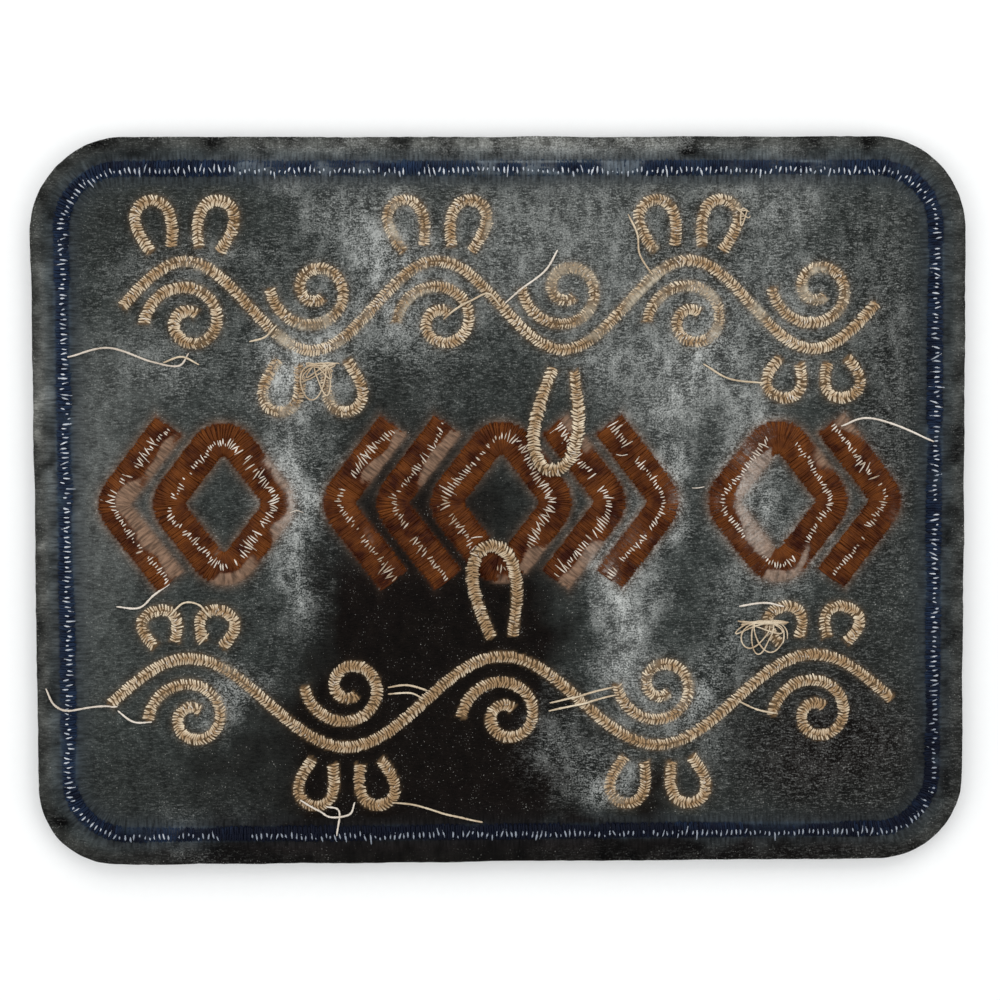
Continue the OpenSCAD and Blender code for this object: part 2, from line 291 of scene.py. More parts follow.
def distances(line):
    """Distance along a line of points to each of them."""
    return np.concatenate([[0], np.cumsum(np.linalg.norm(np.diff(line, axis=0), axis=1))])


def from_ends(line):
    """How many points each point of a line is from the nearer end."""
    place = np.arange(len(line))
    return np.minimum(place, place[::-1])


def fan(a, b, c, radius):
    """A corner of that radius at b between the lines to a and c: points spaced evenly on its arc."""
    a, b, c = (np.asarray(p, float) for p in (a, b, c))
    u, v = (a - b) / np.linalg.norm(a - b), (c - b) / np.linalg.norm(c - b)
    half = math.acos(u @ v) / 2
    middle = b + (u + v) / np.linalg.norm(u + v) * radius / math.sin(half)
    first, last = b + u * radius / math.tan(half) - middle, b + v * radius / math.tan(half) - middle
    turn = math.copysign(math.pi - 2 * half, first[0] * last[1] - first[1] * last[0])
    angle = np.linspace(0, turn, FINE + 1)
    return middle + np.outer(np.cos(angle), first) + np.outer(np.sin(angle), [-first[1], first[0]])


def rounded_loop(points, radii):
    """A closed outline with its own radius at each corner."""
    n = len(points)
    return np.concatenate([fan(points[i - 1], points[i], points[(i + 1) % n], radii[i]) for i in range(n)])


def rectangle(x, y):
    """Corners of a rectangle round the origin, from half its length and half its width."""
    return [(x, -y), (x, y), (-x, y), (-x, -y)]


def lozenge_line(x):
    """A rhombus round a point on the X axis, with rounded corners."""
    points = [(x + LOZENGE_A, 0), (x, LOZENGE_B), (x - LOZENGE_A, 0), (x, -LOZENGE_B)]
    return rounded_loop(points, [BROWN_R] * 4)


def chevron_line(x, place, side):
    """Two sides of a rhombus, that many steps out from the lozenge at x."""
    tip = x + side * (LOZENGE_A + place * CHEVRON_STEP)
    top, bottom = (tip - side * LOZENGE_A, LOZENGE_B), (tip - side * LOZENGE_A, -LOZENGE_B)
    return np.concatenate([[top], fan(top, (tip, 0), bottom, BROWN_R), [bottom]])


def stem_line(vine):
    """A sine wave: the middle height plus the swing times the sine of the half waves passed."""
    half_waves = np.linspace(0, len(vine.leaves), len(vine.leaves) * FINE + 1)
    x = vine.start + half_waves * vine.half_wave
    return np.column_stack([x, vine.middle + vine.swing * np.sin(math.pi * half_waves)])


def side_of(k):
    """Which side of the stem half wave k is on: 1 above it and -1 below it, in turn."""
    return 1 if k % 2 == 0 else -1


def crest_of(vine, k):
    """X of the top or bottom of half wave k."""
    return vine.start + vine.half_wave * (k + 0.5)


def curl_line(vine, k):
    """A spiral whose radius shrinks by the same factor each turn."""
    side = side_of(k)
    t = np.linspace(0, 1, 4 * FINE + 1)
    r = CURL_R * (CURL_END_R / CURL_R) ** t
    a = math.pi - side * 2 * math.pi * CURL_TURNS * t
    y = vine.middle + side * (vine.swing - vine.curl_depth)
    return np.column_stack([crest_of(vine, k) + CURL_SHIFT + r * np.cos(a), y + r * np.sin(a)])


def leaf_line(foot, degrees, length, width):
    """A teardrop open at its foot: along is a sine of the parameter, across a cosine that widens with it."""
    root = math.sqrt(0.5)
    belly = (width / 2 / root - LEAF_FOOT) / root
    a = np.linspace(0, math.pi, 3 * FINE + 1)
    along, across = length * np.sin(a), np.cos(a) * (LEAF_FOOT + belly * np.sin(a))
    turn = math.radians(degrees)
    x = foot[0] + along * math.cos(turn) - across * math.sin(turn)
    y = foot[1] + along * math.sin(turn) + across * math.cos(turn)
    return np.column_stack([x, y])


def leaf_lines(vine, k):
    """Both leaves of a pair, or the single long one, as rows of name ending and centre line."""
    side, crest, length = side_of(k), crest_of(vine, k), vine.leaves[k]
    if length > LONG_LEAF:
        foot = (crest, vine.middle + side * (vine.swing + LEAF_RISE))
        degrees = side * (90 + LEAF_TILT / 2)
        return [("_long", leaf_line(foot, degrees, length - LEAF_RISE / 2, LEAF_W * LONG_LEAF_SHARE))]
    rows = []
    for letter, x in (("a", -LEAF_SPREAD), ("b", LEAF_SPREAD)):
        rise = vine.swing * math.cos(math.pi * x / vine.half_wave) + LEAF_RISE
        degrees = side * 90 - side * math.copysign(LEAF_TILT, x)
        rows.append((letter, leaf_line((crest + x, vine.middle + side * rise), degrees, length, LEAF_W)))
    return rows


class Column:
    """A satin column: its centre line as evenly spaced points, and the place at any distance along it."""

    def __init__(self, name, thread, width, closed, corners):
        self.name, self.thread, self.width, self.closed = name, thread, width, closed
        self.seen = STITCHES[thread].seen
        corners = np.concatenate([corners, corners[:1]]) if closed else corners
        run = distances(corners)
        self.length = run[-1]
        self.run = np.linspace(0, self.length, round(self.length / SPACING) + 1)
        self.line = np.column_stack([np.interp(self.run, run, corners[:, i]) for i in (0, 1)])
        self.raised = np.zeros(len(self.run))

    def held(self, run):
        """A distance along the column, taken round again if it is closed and else held to its ends."""
        return run % self.length if self.closed else np.clip(run, 0, self.length)

    def point(self, run):
        """The place of the centre line at each distance."""
        return np.stack([np.interp(self.held(run), self.run, self.line[:, i]) for i in (0, 1)], axis=-1)

    def normal(self, run):
        """The left-hand normal, from the points a little before and a little after."""
        run = self.held(run)
        ahead = self.point(run + 2 * SPACING) - self.point(run - 2 * SPACING)
        ahead /= np.linalg.norm(ahead, axis=-1, keepdims=True)
        return np.stack([-ahead[..., 1], ahead[..., 0]], axis=-1)

    def lift(self, run):
        """How far the column is raised at each distance, 0 to 1."""
        return np.interp(self.held(run), self.run, self.raised)


def all_columns():
    """Every column by name, tan ones raised where they pass over brown ones."""
    border = rounded_loop(rectangle(BORDER_X, BORDER_Y), [BORDER_R] * 4)
    rows = [("border_stitching", NAVY, BORDER_W, True, border)]
    rows += [("lozenge_" + tag, BROWN, BROWN_W, True, lozenge_line(x)) for tag, x in LOZENGES]
    rows += [("chevron_" + row[0], BROWN, BROWN_W, False, chevron_line(*row[1:])) for row in CHEVRONS]
    for vine in VINES:
        rows.append(("stem_" + vine.tag, TAN, TAN_W, False, stem_line(vine)))
        for k in range(len(vine.leaves)):
            rows.append((f"curl_{vine.tag}_{k + 1}", TAN, TAN_W, False, curl_line(vine, k)))
            for ending, line in leaf_lines(vine, k):
                rows.append((f"leaf_{vine.tag}_{k + 1}{ending}", TAN, TAN_W, False, line))
    made = {row[0]: Column(*row) for row in rows}
    brown = np.concatenate([c.line[::3] for c in made.values() if c.thread == BROWN])
    for column in (c for c in made.values() if c.thread == TAN):
        away = np.linalg.norm(column.line[:, None] - brown[None], axis=2).min(1) - (BROWN_W + TAN_W) / 2
        if away.min() < 0:
            column.raised = step(away, LIFT_FAR, LIFT_NEAR)
    return made


COLUMNS = all_columns()
# A square table of random values, which the noise reads
CELLS = 64
GRAIN = np.random.default_rng(8).random((CELLS, CELLS))


def drift(x, y, size, start):
    """Smooth noise from 0 to 1: a table of random values, read at a place of its own for each start, and
    blended by a cubic step between cells of that size."""
    u, v = x / size + 7.31 * start, y / size + 3.77 * start
    i, j = np.floor(u).astype(int), np.floor(v).astype(int)
    f, g = step(u - i), step(v - j)
    low, high = (blend(GRAIN[i % CELLS, row % CELLS], GRAIN[(i + 1) % CELLS, row % CELLS], f)
                 for row in (j, j + 1))
    return blend(low, high, g)


def wander(x, y, size, start, swing):
    """Smooth noise about 0: the drift less a half, times the swing."""
    return swing * (drift(x, y, size, start) - 0.5)


def sheen_and_shade(x, y):
    """Painted sheen and shade of the film, and its painted glints: two sums of the same bell-shaped
    ellipses, read at a place that noise shifts, so that their edges are ragged."""
    u = x + wander(x, y, 3.1, 1, 3.0) + wander(x, y, 1.1, 2, 1.6)
    v = y + wander(x, y, 3.1, 3, 3.0) + wander(x, y, 1.1, 4, 1.6)
    turn = np.radians(SHEEN_SHADE_PATCHES[:, 4])
    dx, dy = u[..., None] - SHEEN_SHADE_PATCHES[:, 0], v[..., None] - SHEEN_SHADE_PATCHES[:, 1]
    along = (dx * np.cos(turn) + dy * np.sin(turn)) / SHEEN_SHADE_PATCHES[:, 2]
    across = (dy * np.cos(turn) - dx * np.sin(turn)) / SHEEN_SHADE_PATCHES[:, 3]
    bell = np.exp(-(along**2 + across**2))
    return (SHEEN_SHADE_PATCHES[:, 5] * bell).sum(-1), (SHEEN_SHADE_PATCHES[:, 6] * bell).sum(-1)


def darkened(painted_light):
    """How far painted shade darkens the film where the painted light is below zero, 0 to 1."""
    return np.clip(-1.2 * painted_light, 0, 1)


# How the film covers a column of each thread. More under the painted sheen, and the band along the right and
# lower side is painted sheen where the film catches the light.
# Columns: everywhere, under sheen and glints, in a band along the right and lower side, by noise, along
# edges
VEILS = np.array([(0.25, 0.3, 0, 0.6, 0.65), (0.08, 0.3, 0.85, 0.5, 0), (0.1, 0.4, 0.15, 0.5, 0.1)])
# The veil at which the film stands level with the threads
LEVEL_VEIL = 0.62


def veil(x, y, found):
    """How far the film covers a column, 0 to 1: its thread's share, more under the painted sheen and glints,
    in places a band of painted sheen along the side that faces right and down, and along both edges."""
    dx, dy = found["offset"][..., 0], found["offset"][..., 1]
    distance = np.maximum(np.hypot(dx, dy), 0.01)
    out = 2 * distance / found["width"]
    side = np.clip(2.5 * (dx - 0.5 * dy) / distance, -1, 1) * out
    painted_light, frost = sheen_and_shade(x, y)
    sheen_amount = np.clip(frost + np.maximum(painted_light, 0), 0, 0.6)
    # A band of painted sheen along the side that faces right and down, in places
    sheen_band = step(side + wander(x, y, 2.1, 19, 0.8), 0.1, 0.5)
    sheen_band = sheen_band * step(drift(x, y, 6, 13) + 0.6 * sheen_amount, 0.58, 0.83)
    edges = step(out - 0.5 * drift(x, y, 4, 14), 0.5, 0.8)
    shares = VEILS[found["thread"]]
    parts = (1, sheen_amount, sheen_band, wander(x, y, 1.8, 5, 1), edges)
    return np.clip(sum(shares[..., i] * part for i, part in enumerate(parts)), 0, 1)


def crown(q, width):
    """Height of a column over its foot: 1 less a power of the distance from its middle."""
    return BACK_CROWN * (1 - np.clip(np.abs(2 * q / width), 0, 1) ** CROWN_POWER)


# A column is looked for this far past its edge, and no column is given as this far away
REACH, FAR = 2.5, 9.0
# Added to the height of a column that a point is in, so that it comes before any that it is beside
ON_TOP = 10
# Most pairs of points set against each other at once
PAIRS = 6000000


def survey(x, y):
    """What lies at each point: clear distance to the nearest column (less than 0 inside it), its thread,
    width and height, the offset from its middle, and the distance along and across it. Each point is set
    against the nearest point of each line."""
    p = np.column_stack([x.ravel(), y.ravel()])
    best = np.full(len(p), -1e9)
    found = {"edge": np.full(len(p), FAR), "thread": np.zeros(len(p), int), "width": np.ones(len(p)),
             "height": np.zeros(len(p)), "offset": np.zeros((len(p), 2)), "lay": np.zeros((len(p), 3))}
    for column in COLUMNS.values():
        reach = column.width / 2 + REACH
        run = column.run[::2]
        line, normal, lift = column.point(run), column.normal(run), column.lift(run)
        close = ((p > line.min(0) - reach) & (p < line.max(0) + reach)).all(1)
        if column.thread == NAVY:
            close &= (np.abs(p) > np.array([BORDER_X, BORDER_Y]) - BORDER_R - 1).any(1)
        close = np.flatnonzero(close)
        for part in np.array_split(close, 1 + len(close) * len(line) // PAIRS):
            k = ((p[part, None, 0] - line[:, 0]) ** 2 + (p[part, None, 1] - line[:, 1]) ** 2).argmin(1)
            offset = p[part] - line[k]
            across = (offset * normal[k]).sum(1)
            along = offset[:, 0] * normal[k, 1] - offset[:, 1] * normal[k, 0]
            at_end = (k == 0) | (k == len(line) - 1)
            past = np.maximum(np.abs(along) - SPACING, 0) * (1 - column.closed) * at_end
            distance = np.abs(across)
            edge = distance - column.seen / 2
            edge = np.where(past > 0, np.maximum(edge, past), edge)
            height = BACK_FOOT + LIFT * lift[k] + crown(distance, column.seen)
            lay = np.column_stack([run[k] + along, across, np.zeros(len(k))])
            score = np.where(edge < 0, ON_TOP + height, -edge)
            better = score > best[part]
            chosen = part[better]
            best[chosen] = score[better]
            for key, value in (("edge", edge), ("height", height), ("offset", offset), ("lay", lay)):
                found[key][chosen] = value[better]
            found["thread"][chosen], found["width"][chosen] = column.thread, column.seen
    return {key: value.reshape(x.shape + value.shape[1:]) for key, value in found.items()}


def cut_edge(x, y):
    """Distance in from the cut edge of the cloth: a rectangle whose corners have their own radii."""
    radius = np.where(
        x > 0,
        np.where(y > 0, CORNER_BACK_RIGHT, CORNER_FRONT_RIGHT),
        np.where(y > 0, CORNER_BACK_LEFT, CORNER_FRONT_LEFT),
    )
    u, v = np.abs(x) - PATCH_W / 2 + radius, np.abs(y) - PATCH_H / 2 + radius
    return radius - np.hypot(np.maximum(u, 0), np.maximum(v, 0)) - np.minimum(np.maximum(u, v), 0)


# How far from a column the film's fillet reaches, and how much deeper a full veil is than none
FILLET_REACH, VEIL_DEPTH = 0.3, 0.26


def film_relief(x, y, found):
    """Height of the film: it lies in long flat waves, rises beside each column in a fillet that fades within
    half a millimetre, and inside a column follows the threads, higher where its veil is more."""
    waves = wander(x, y, 8, 6, 0.045) + wander(x / 5, y, 0.8, 7, 0.05)
    fillet = 0.02 + 0.12 * drift(x, y, 1.5, 8)
    outside = FILM_TOP + waves + fillet * fade(found["edge"], FILLET_REACH)
    inside = found["height"] + THREAD_RISE + VEIL_DEPTH * (veil(x, y, found) - LEVEL_VEIL)
    return np.where(found["edge"] < 0, blend(outside, inside, step(-found["edge"], 0, 0.14)), outside)


def top_of(x, y):
    """Height of whatever lies on top at a point, thread or film."""
    found = survey(x, y)
    film = film_relief(x, y, found)
    return np.where(found["edge"] < 0, np.maximum(film, found["height"] + THREAD_RISE), film)


# How Blender stores an attribute of one, three or four numbers a point
FIELDS = {1: ("FLOAT", "value"), 3: ("FLOAT_VECTOR", "vector"), 4: ("FLOAT_COLOR", "color")}


def make_mesh(name, points, faces, materials, attributes=None, material_of=None):
    """A smooth-shaded object from points in millimetres and a list of index arrays, one row a face.
    Attributes are one number, one vector or one colour a point."""
    mesh = bpy.data.meshes.new(name)
    sizes = np.concatenate([np.full(len(f), f.shape[1]) for f in faces])
    corners = np.concatenate([f.ravel() for f in faces])
    mesh.vertices.add(len(points))
    mesh.vertices.foreach_set("co", (points * MM).astype(np.float32).ravel())
    mesh.loops.add(len(corners))
    mesh.loops.foreach_set("vertex_index", corners.astype(np.int32))
    mesh.polygons.add(len(sizes))
    mesh.polygons.foreach_set("loop_start", np.concatenate([[0], np.cumsum(sizes)[:-1]]).astype(np.int32))
    mesh.polygons.foreach_set("use_smooth", np.ones(len(sizes), bool))
    if material_of is not None:
        mesh.polygons.foreach_set("material_index", np.concatenate(material_of).astype(np.int32))
    for key, value in (attributes or {}).items():
        kind, field = FIELDS[value.size // len(points)]
        mesh.attributes.new(key, kind, "POINT").data.foreach_set(field, value.astype(np.float32).ravel())
    for material in materials:
        mesh.materials.append(material)
    mesh.update(calc_edges=True)
    if mesh.validate():
        raise RuntimeError(f"{name} had faces that Blender had to mend")
    made = bpy.data.objects.new(name, mesh)
    bpy.context.scene.collection.objects.link(made)
    return made


def cells(index):
    """Faces of a grid from its points' indices: each cell's four corners in turn, on the last two axes."""
    corners = [index[..., :-1, :-1], index[..., 1:, :-1], index[..., 1:, 1:], index[..., :-1, 1:]]
    return np.stack(corners, axis=-1).reshape(-1, 4)


def tubes(lines, radii, sides=STRAND_SIDES):
    """A circle carried along many lines at once: each ring is its point plus the radius times the cosine of
    the ring angle across the line and the sine of it square to both. Lines is strands x rings x 3."""
    strands, rings, _ = lines.shape
    ahead = np.gradient(lines, axis=1)
    ahead /= np.linalg.norm(ahead, axis=2, keepdims=True)
    across = np.cross(ahead, [0.0, 0.0, 1.0])
    across /= np.linalg.norm(across, axis=2, keepdims=True)
    lift = np.cross(across, ahead)
    a = np.arange(sides) * 2 * math.pi / sides
    ring = np.cos(a)[:, None] * across[:, :, None] + np.sin(a)[:, None] * lift[:, :, None]
    points = (lines[:, :, None] + radii[:, :, None, None] * ring).reshape(-1, 3)
    index = np.arange(strands * rings * sides).reshape(strands, rings, sides)
    walls = cells(np.concatenate([index, index[..., :1]], axis=2))
    return points, [walls, np.concatenate([index[:, 0], index[:, -1, ::-1]])]


def joined(parts):
    """Several point sets with their faces as one, the indices of each moved past the points before it."""
    points, faces, start = [], [], 0
    for these, those in parts:
        points.append(these)
        faces += [f + start for f in those]
        start += len(these)
    return np.concatenate(points), faces


def strands_on(column, run, q, z):
    """Lines on a column from distance along it, offset across it and height, each strands x rings."""
    flat = column.point(run) + column.normal(run) * q[..., None]
    return np.concatenate([flat, z[..., None]], axis=-1)


def laid_marks(rng, column, run, q):
    """What the thread's material reads at each ring: a random shade for the strand, how near the edge it is,
    and the distance along and across the column."""
    shade = np.broadcast_to(rng.random((len(q), 1)), q.shape)
    return np.stack([shade, np.abs(2 * q / column.seen), run, q], axis=-1)


def back_legs(column, sizes, rng):
    """The back of the satin stitch. From each needle hole at an edge legs run inwards, sink at the middle,
    and meet those from the other edge half a pitch further on. Height is the crown's at each offset."""
    stitch = STITCHES[column.thread]
    pitch, radius = sizes["pitch"] * stitch.pitch, sizes["strand"] / 2 * stitch.strand
    count = max(2, round(column.length / pitch))
    hole = (np.arange(count) + 0.25) * column.length / count
    t, rise, taper = LEG
    spring = (0.07 + 0.18 * step(t, 0, 0.3)) * pitch
    lines, marks = [], []
    for side in (1, -1):
        for leg in stitch.legs:
            start = hole + (0.5 * pitch if side < 0 else 0) - stitch.lean / 2
            start = start + rng.normal(0, HOLE_SCATTER, count)
            lean = rng.normal(1, 0.5, count) * stitch.lean
            run = start[:, None] + leg * spring + lean[:, None] * t
            reach = side * (column.seen / 2 + rng.normal(-0.02, stitch.ragged, count))[:, None]
            past = side * stitch.meet * (1 + 0.5 * rng.random((count, 1))) * column.width
            q = reach * (1 - t) - past * t
            z = BACK_FOOT + crown(q, column.seen) + rng.normal(-0.02, HEIGHT_SCATTER, (count, 1))
            lines.append(strands_on(column, run, q, z + LIFT * column.lift(run) + rise))
            marks.append(laid_marks(rng, column, run, q))
    lines, marks = np.concatenate(lines), np.concatenate(marks)
    return lines, radius * taper * (1 + 0.1 * rng.normal(0, 1, (len(lines), 1))), marks


def bobbin_ticks(column, sizes, rng):
    """Short pieces of the white bobbin thread near the middle: crosswise, bowed up, in ragged groups, and in
    places pulled out longer."""
    stitch = STITCHES[column.thread]
    count = max(2, round(column.length / (sizes["pitch"] * stitch.pitch)))
    run = (np.arange(count) + 0.5 + rng.normal(0, 0.1, count)) * column.length / count
    place = column.point(run)
    grouped = blend(drift(place[:, 0], place[:, 1], 1.4, 9), rng.random(count), 0.25)
    run = run[grouped < np.quantile(grouped, stitch.ticks)]
    count = len(run)
    middle = (column.normal(run) * stitch.tick_shift).sum(-1) + rng.normal(0, TICK_SCATTER, count)
    x, y = column.point(run).T
    middle += wander(x, y, 3.0, 15, stitch.tick_drift)
    length = stitch.tick_length * np.exp(0.35 * rng.normal(0, 1, count).clip(-2, 2.2))
    length = length * (1 + stitch.pulled * step(drift(x, y, 5.0, 18), 0.5, 0.65))
    slant = rng.normal(0, 1, count) * stitch.tick_slant
    t, rise, taper = TICK
    q = middle[:, None] + (length / 2 * np.cos(slant))[:, None] * t
    along = run[:, None] + (length / 2 * np.sin(slant))[:, None] * t
    z = BACK_FOOT + crown(q, column.seen) + LIFT * column.lift(along) + rise
    radii = sizes["bobbin"] / 2 * stitch.tick_width * taper * (1 + 0.15 * rng.normal(0, 1, (count, 1)))
    return strands_on(column, along, q, z), radii, laid_marks(rng, column, along, q)


def front_strands(column, sizes, rng):
    """The front of the satin stitch: threads laid right across, two a pitch, crowned like the column."""
    stitch = STITCHES[column.thread]
    count = max(3, round(2 * column.length / (sizes["pitch"] * stitch.pitch)))
    t = np.array([-1.0, -0.65, 0.65, 1.0])
    start = (np.arange(count) + 0.5) * column.length / count
    lean = np.where(np.arange(count) % 2, 0.25, -0.25) * sizes["pitch"]
    run = start[:, None] + lean[:, None] * t
    q = column.width / 2 * t * (1 + 0.03 * rng.normal(0, 1, (count, 1)))
    radius = sizes["strand"] * 0.55 * stitch.strand
    relief = CLOTH_Z - radius - stitch.front_z
    z = CLOTH_Z - relief * (1 - np.abs(t) ** CROWN_POWER) - FRONT_LIFT * column.lift(run)
    return strands_on(column, run, q, z), np.full(q.shape, radius), laid_marks(rng, column, run, q)


def padding(column, width, foot, height, rise):
    """The filling under a column's threads: a low arch carried along its centre line, closed at both ends. A
    height below 0 hangs it from its foot."""
    count = max(4, round(column.length / PAD_STEP))
    run = np.linspace(0, column.length, count, endpoint=not column.closed)
    z = foot + height * PAD[1] + rise * column.lift(run)[:, None]
    ring = strands_on(column, *np.broadcast_arrays(run[:, None], width / 2 * PAD[0], z))
    index = np.arange(z.size).reshape(z.shape)
    around = np.concatenate([index, index[:, :1]], axis=1)
    if column.closed:
        faces = [cells(np.concatenate([around, around[:1]]))]
    else:
        faces = [cells(around), np.stack([index[0], index[-1, ::-1]])]
    if height < 0:
        faces = [f[:, ::-1] for f in faces]
    return ring.reshape(-1, 3), faces


def stitch_column(column, sizes, threads, bobbin, seed):
    """One figure as threads: padding, back legs, front strands and bobbin ticks, joined as one mesh."""
    rng = np.random.default_rng(seed)
    stitch = STITCHES[column.thread]
    parts = [padding(column, column.seen, BACK_FOOT - 0.04, BACK_CROWN - 0.1, LIFT),
             padding(column, column.width, CLOTH_Z, -stitch.front_core, -FRONT_LIFT)]
    # The filling reads 0 for shade and edge, the dark end of the thread's colours: painted shade where it
    # shows between the strands
    marks = [np.zeros((sum(len(points) for points, _ in parts), 4))]
    for group in (back_legs, front_strands, bobbin_ticks):
        lines, radii, group_marks = group(column, sizes, rng)
        parts.append(tubes(lines, radii))
        marks.append(np.repeat(group_marks.reshape(-1, 4), STRAND_SIDES, axis=0))
    points, faces = joined(parts)
    marks = np.concatenate(marks)
    material_of = [np.full(len(f), int(part is parts[-1])) for part in parts for f in part[1]]
    x, y, z = points.T
    back = z > CLOTH_TOP
    # Painted shade: where the film is painted darker the threads are darker and the film covers them less
    soaked = darkened(sheen_and_shade(x, y)[0]) * back
    cover = veil(x, y, survey(x, y)) * back * (1 - 0.8 * soaked)
    lay = np.column_stack([marks[:, 2:], np.zeros(len(marks))])
    made = make_mesh(column.name + "_threads", points, faces, [threads, bobbin],
                     {"shade": marks[:, 0] - stitch.soaked * soaked, "edge": marks[:, 1], "veil": cover,
                      "lay": lay}, material_of)
    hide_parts(column.name)
    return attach(made, BODY)


# Spacing of the points of the cloth and of the film, and the corner radius that sets how many go round one
CLOTH_STEP, FILM_STEP, CORNER_R = 0.9, 0.262, 8
# The cut edge: how far in it lies, how far from it a point still moves, and where the edge zones begin
CUT_INSET, CUT_REACH, EDGE_X, EDGE_Y = 0.05, 0.6, 30, 22
# How the edge of the cloth and of the film goes down or up to its flat face
# Columns: distance in from the rim, height
CLOTH_RIM = [(-0.03, 0.68), (-0.05, 0.85), (-0.03, 1.1), (0.0, 1.35), (-0.02, 1.55), (0.03, CLOTH_TOP)]
FILM_RIM = [(-0.01, 1.82), (0.0, 1.74), (0.04, FILM_FOOT)]


def outline_rows(spacing):
    """Heights of the rows of a sheet: even on the straight sides, and by even angle round the corners, whose
    radius is taken as the mean of the two at that end."""
    front, back = (CORNER_FRONT_LEFT + CORNER_FRONT_RIGHT) / 2, (CORNER_BACK_LEFT + CORNER_BACK_RIGHT) / 2
    angle = np.linspace(0, math.pi / 2, round(CORNER_R * math.pi / 2 / spacing) + 1)
    low, high = front - PATCH_H / 2, PATCH_H / 2 - back
    middle = np.linspace(low, high, round((high - low) / spacing) + 1)[1:-1]
    return np.concatenate([low - front * np.sin(angle[::-1]), middle, high + back * np.sin(angle)])


def half_width(y, low_radius, high_radius):
    """Half the cloth's width at a height, on the side whose corners have these radii: even on the straight
    part, and less by the radius minus the height of its circle in a corner."""
    low, high = -PATCH_H / 2 + low_radius, PATCH_H / 2 - high_radius
    below = low_radius - np.sqrt(np.maximum(low_radius**2 - np.maximum(low - y, 0) ** 2, 0))
    above = high_radius - np.sqrt(np.maximum(high_radius**2 - np.maximum(y - high, 0) ** 2, 0))
    return PATCH_W / 2 - np.where(y < low, below, 0) - np.where(y > high, above, 0)


def sheet_grid(spacing):
    """Points of a flat sheet with rounded corners: each row is a straight blend between the left and right
    edge. The rim is moved in and out by noise, as a cut edge is."""
    y = outline_rows(spacing)
    left = -half_width(y, CORNER_FRONT_LEFT, CORNER_BACK_LEFT)
    right = half_width(y, CORNER_FRONT_RIGHT, CORNER_BACK_RIGHT)
    u = np.linspace(0, 1, round(PATCH_W / spacing) + 1)
    x = blend(left[:, None], right[:, None], u)
    y = np.broadcast_to(y[:, None], x.shape)
    rough = wander(x, y, 4.3, 10, 0.12) + wander(x, y, 0.7, 11, 0.05)
    inset = (CUT_INSET + rough) * fade(cut_edge(x, y), CUT_REACH)
    return x - np.sign(x) * inset * (np.abs(x) > EDGE_X), y - np.sign(y) * inset * (np.abs(y) > EDGE_Y)


def closed_sheet(x, y, z, rim, upward):
    """A grid surface closed by rings that follow its rim down or up to one flat face. Rim rows are a ring's
    distance in from the edge, and its height."""
    index = np.arange(x.size).reshape(x.shape)
    loop = np.concatenate([index[0, :-1], index[:-1, -1], index[-1, :0:-1], index[:0:-1, 0]])
    points = [np.column_stack([x.ravel(), y.ravel(), z.ravel()])]
    edge = points[0][loop, :2]
    inward = edge / np.maximum(np.linalg.norm(edge, axis=1, keepdims=True), 1)
    rings = [loop]
    for inset, height in rim:
        points.append(np.column_stack([edge - inward * inset, np.full(len(loop), height)]))
        rings.append(x.size + (len(rings) - 1) * len(loop) + np.arange(len(loop)))
    rings = np.array(rings)
    walls = cells(np.column_stack([rings, rings[:, 0]]))
    faces = [cells(index.T), walls, rings[-1:, ::-1]]
    return np.concatenate(points), faces if upward else [f[:, ::-1] for f in faces]


def add(tree, kind, inputs=(), output=None, **settings):
    """Adds one node with its settings. Its inputs, by name or in the order of those in use, take a link or a
    plain value. Returns the output of that name, or else the first in use."""
    node = tree.nodes.new("ShaderNode" + kind)
    for key, value in settings.items():
        setattr(node, key, value)
    if not isinstance(inputs, dict):
        inputs = dict(zip([i for i, socket in enumerate(node.inputs) if socket.enabled], inputs))
    for key, value in inputs.items():
        if isinstance(value, bpy.types.NodeSocket):
            tree.links.new(value, node.inputs[key])
        else:
            node.inputs[key].default_value = value
    return node.outputs[output] if output else next((s for s in node.outputs if s.enabled), None)


def new_material(name):
    """An empty material, a call that adds a node to it, and its Object coordinates in millimetres."""
    material = bpy.data.materials.new(name)
    material.use_nodes = True
    material.node_tree.nodes.clear()
    node = functools.partial(add, material.node_tree)
    place = node("VectorMath", (node("TexCoord", output="Object"), [1 / MM] * 3), operation="MULTIPLY")
    return material, node, place


def surfaced(material, inputs):
    """The material with those inputs given to its surface shader."""
    shader = add(material.node_tree, "BsdfPrincipled", inputs)
    add(material.node_tree, "OutputMaterial", {"Surface": shader})
    return material


def weighted(node, terms):
    """The sum of some outputs, each times its weight."""
    total = 0.0
    for socket, weight in terms:
        total = node("Math", (socket, weight, total), operation="MULTIPLY_ADD")
    return total


# Sizes of the patterns in millimetres, along each axis where there are three
# Patches of dye, and the fibres of a thread, drawn coarser than they are because a pixel shows 0.09 mm
DYE_PATCH, FIBRE = 1.818, 0.0909
# Plies of a laid thread: lines across a column that run a millimetre or more along the stitch
PLY = (0.125, 1.25, 1.0)
# Dashes of the weave under the film, longer along the cloth
WEAVE_DASH = (0.4167, 0.1333, 0.25)
# Grains of the film, which also make the painted glints, and the patches in which the film is thicker
FILM_GRAIN, FILM_PATCH = 0.1429, (1.176, 2.0, 1.429)
# Strands under the film
COVERED_STRAND = (0.2083, 1.429, 1.0)
# Ribs and yarns of the twill, the fibre ends of its cut edge, and the grain of the painted board
TWILL_RIB, TWILL_YARN, FIBRE_END, PAINT_GRAIN = 0.551, 0.3125, 0.1429, 0.8333
# How deep the threads' plies are, and the film's and the twill's relief, in metres
PLY_DEPTH, WEAVE_DEPTH = 0.00004, 0.00008


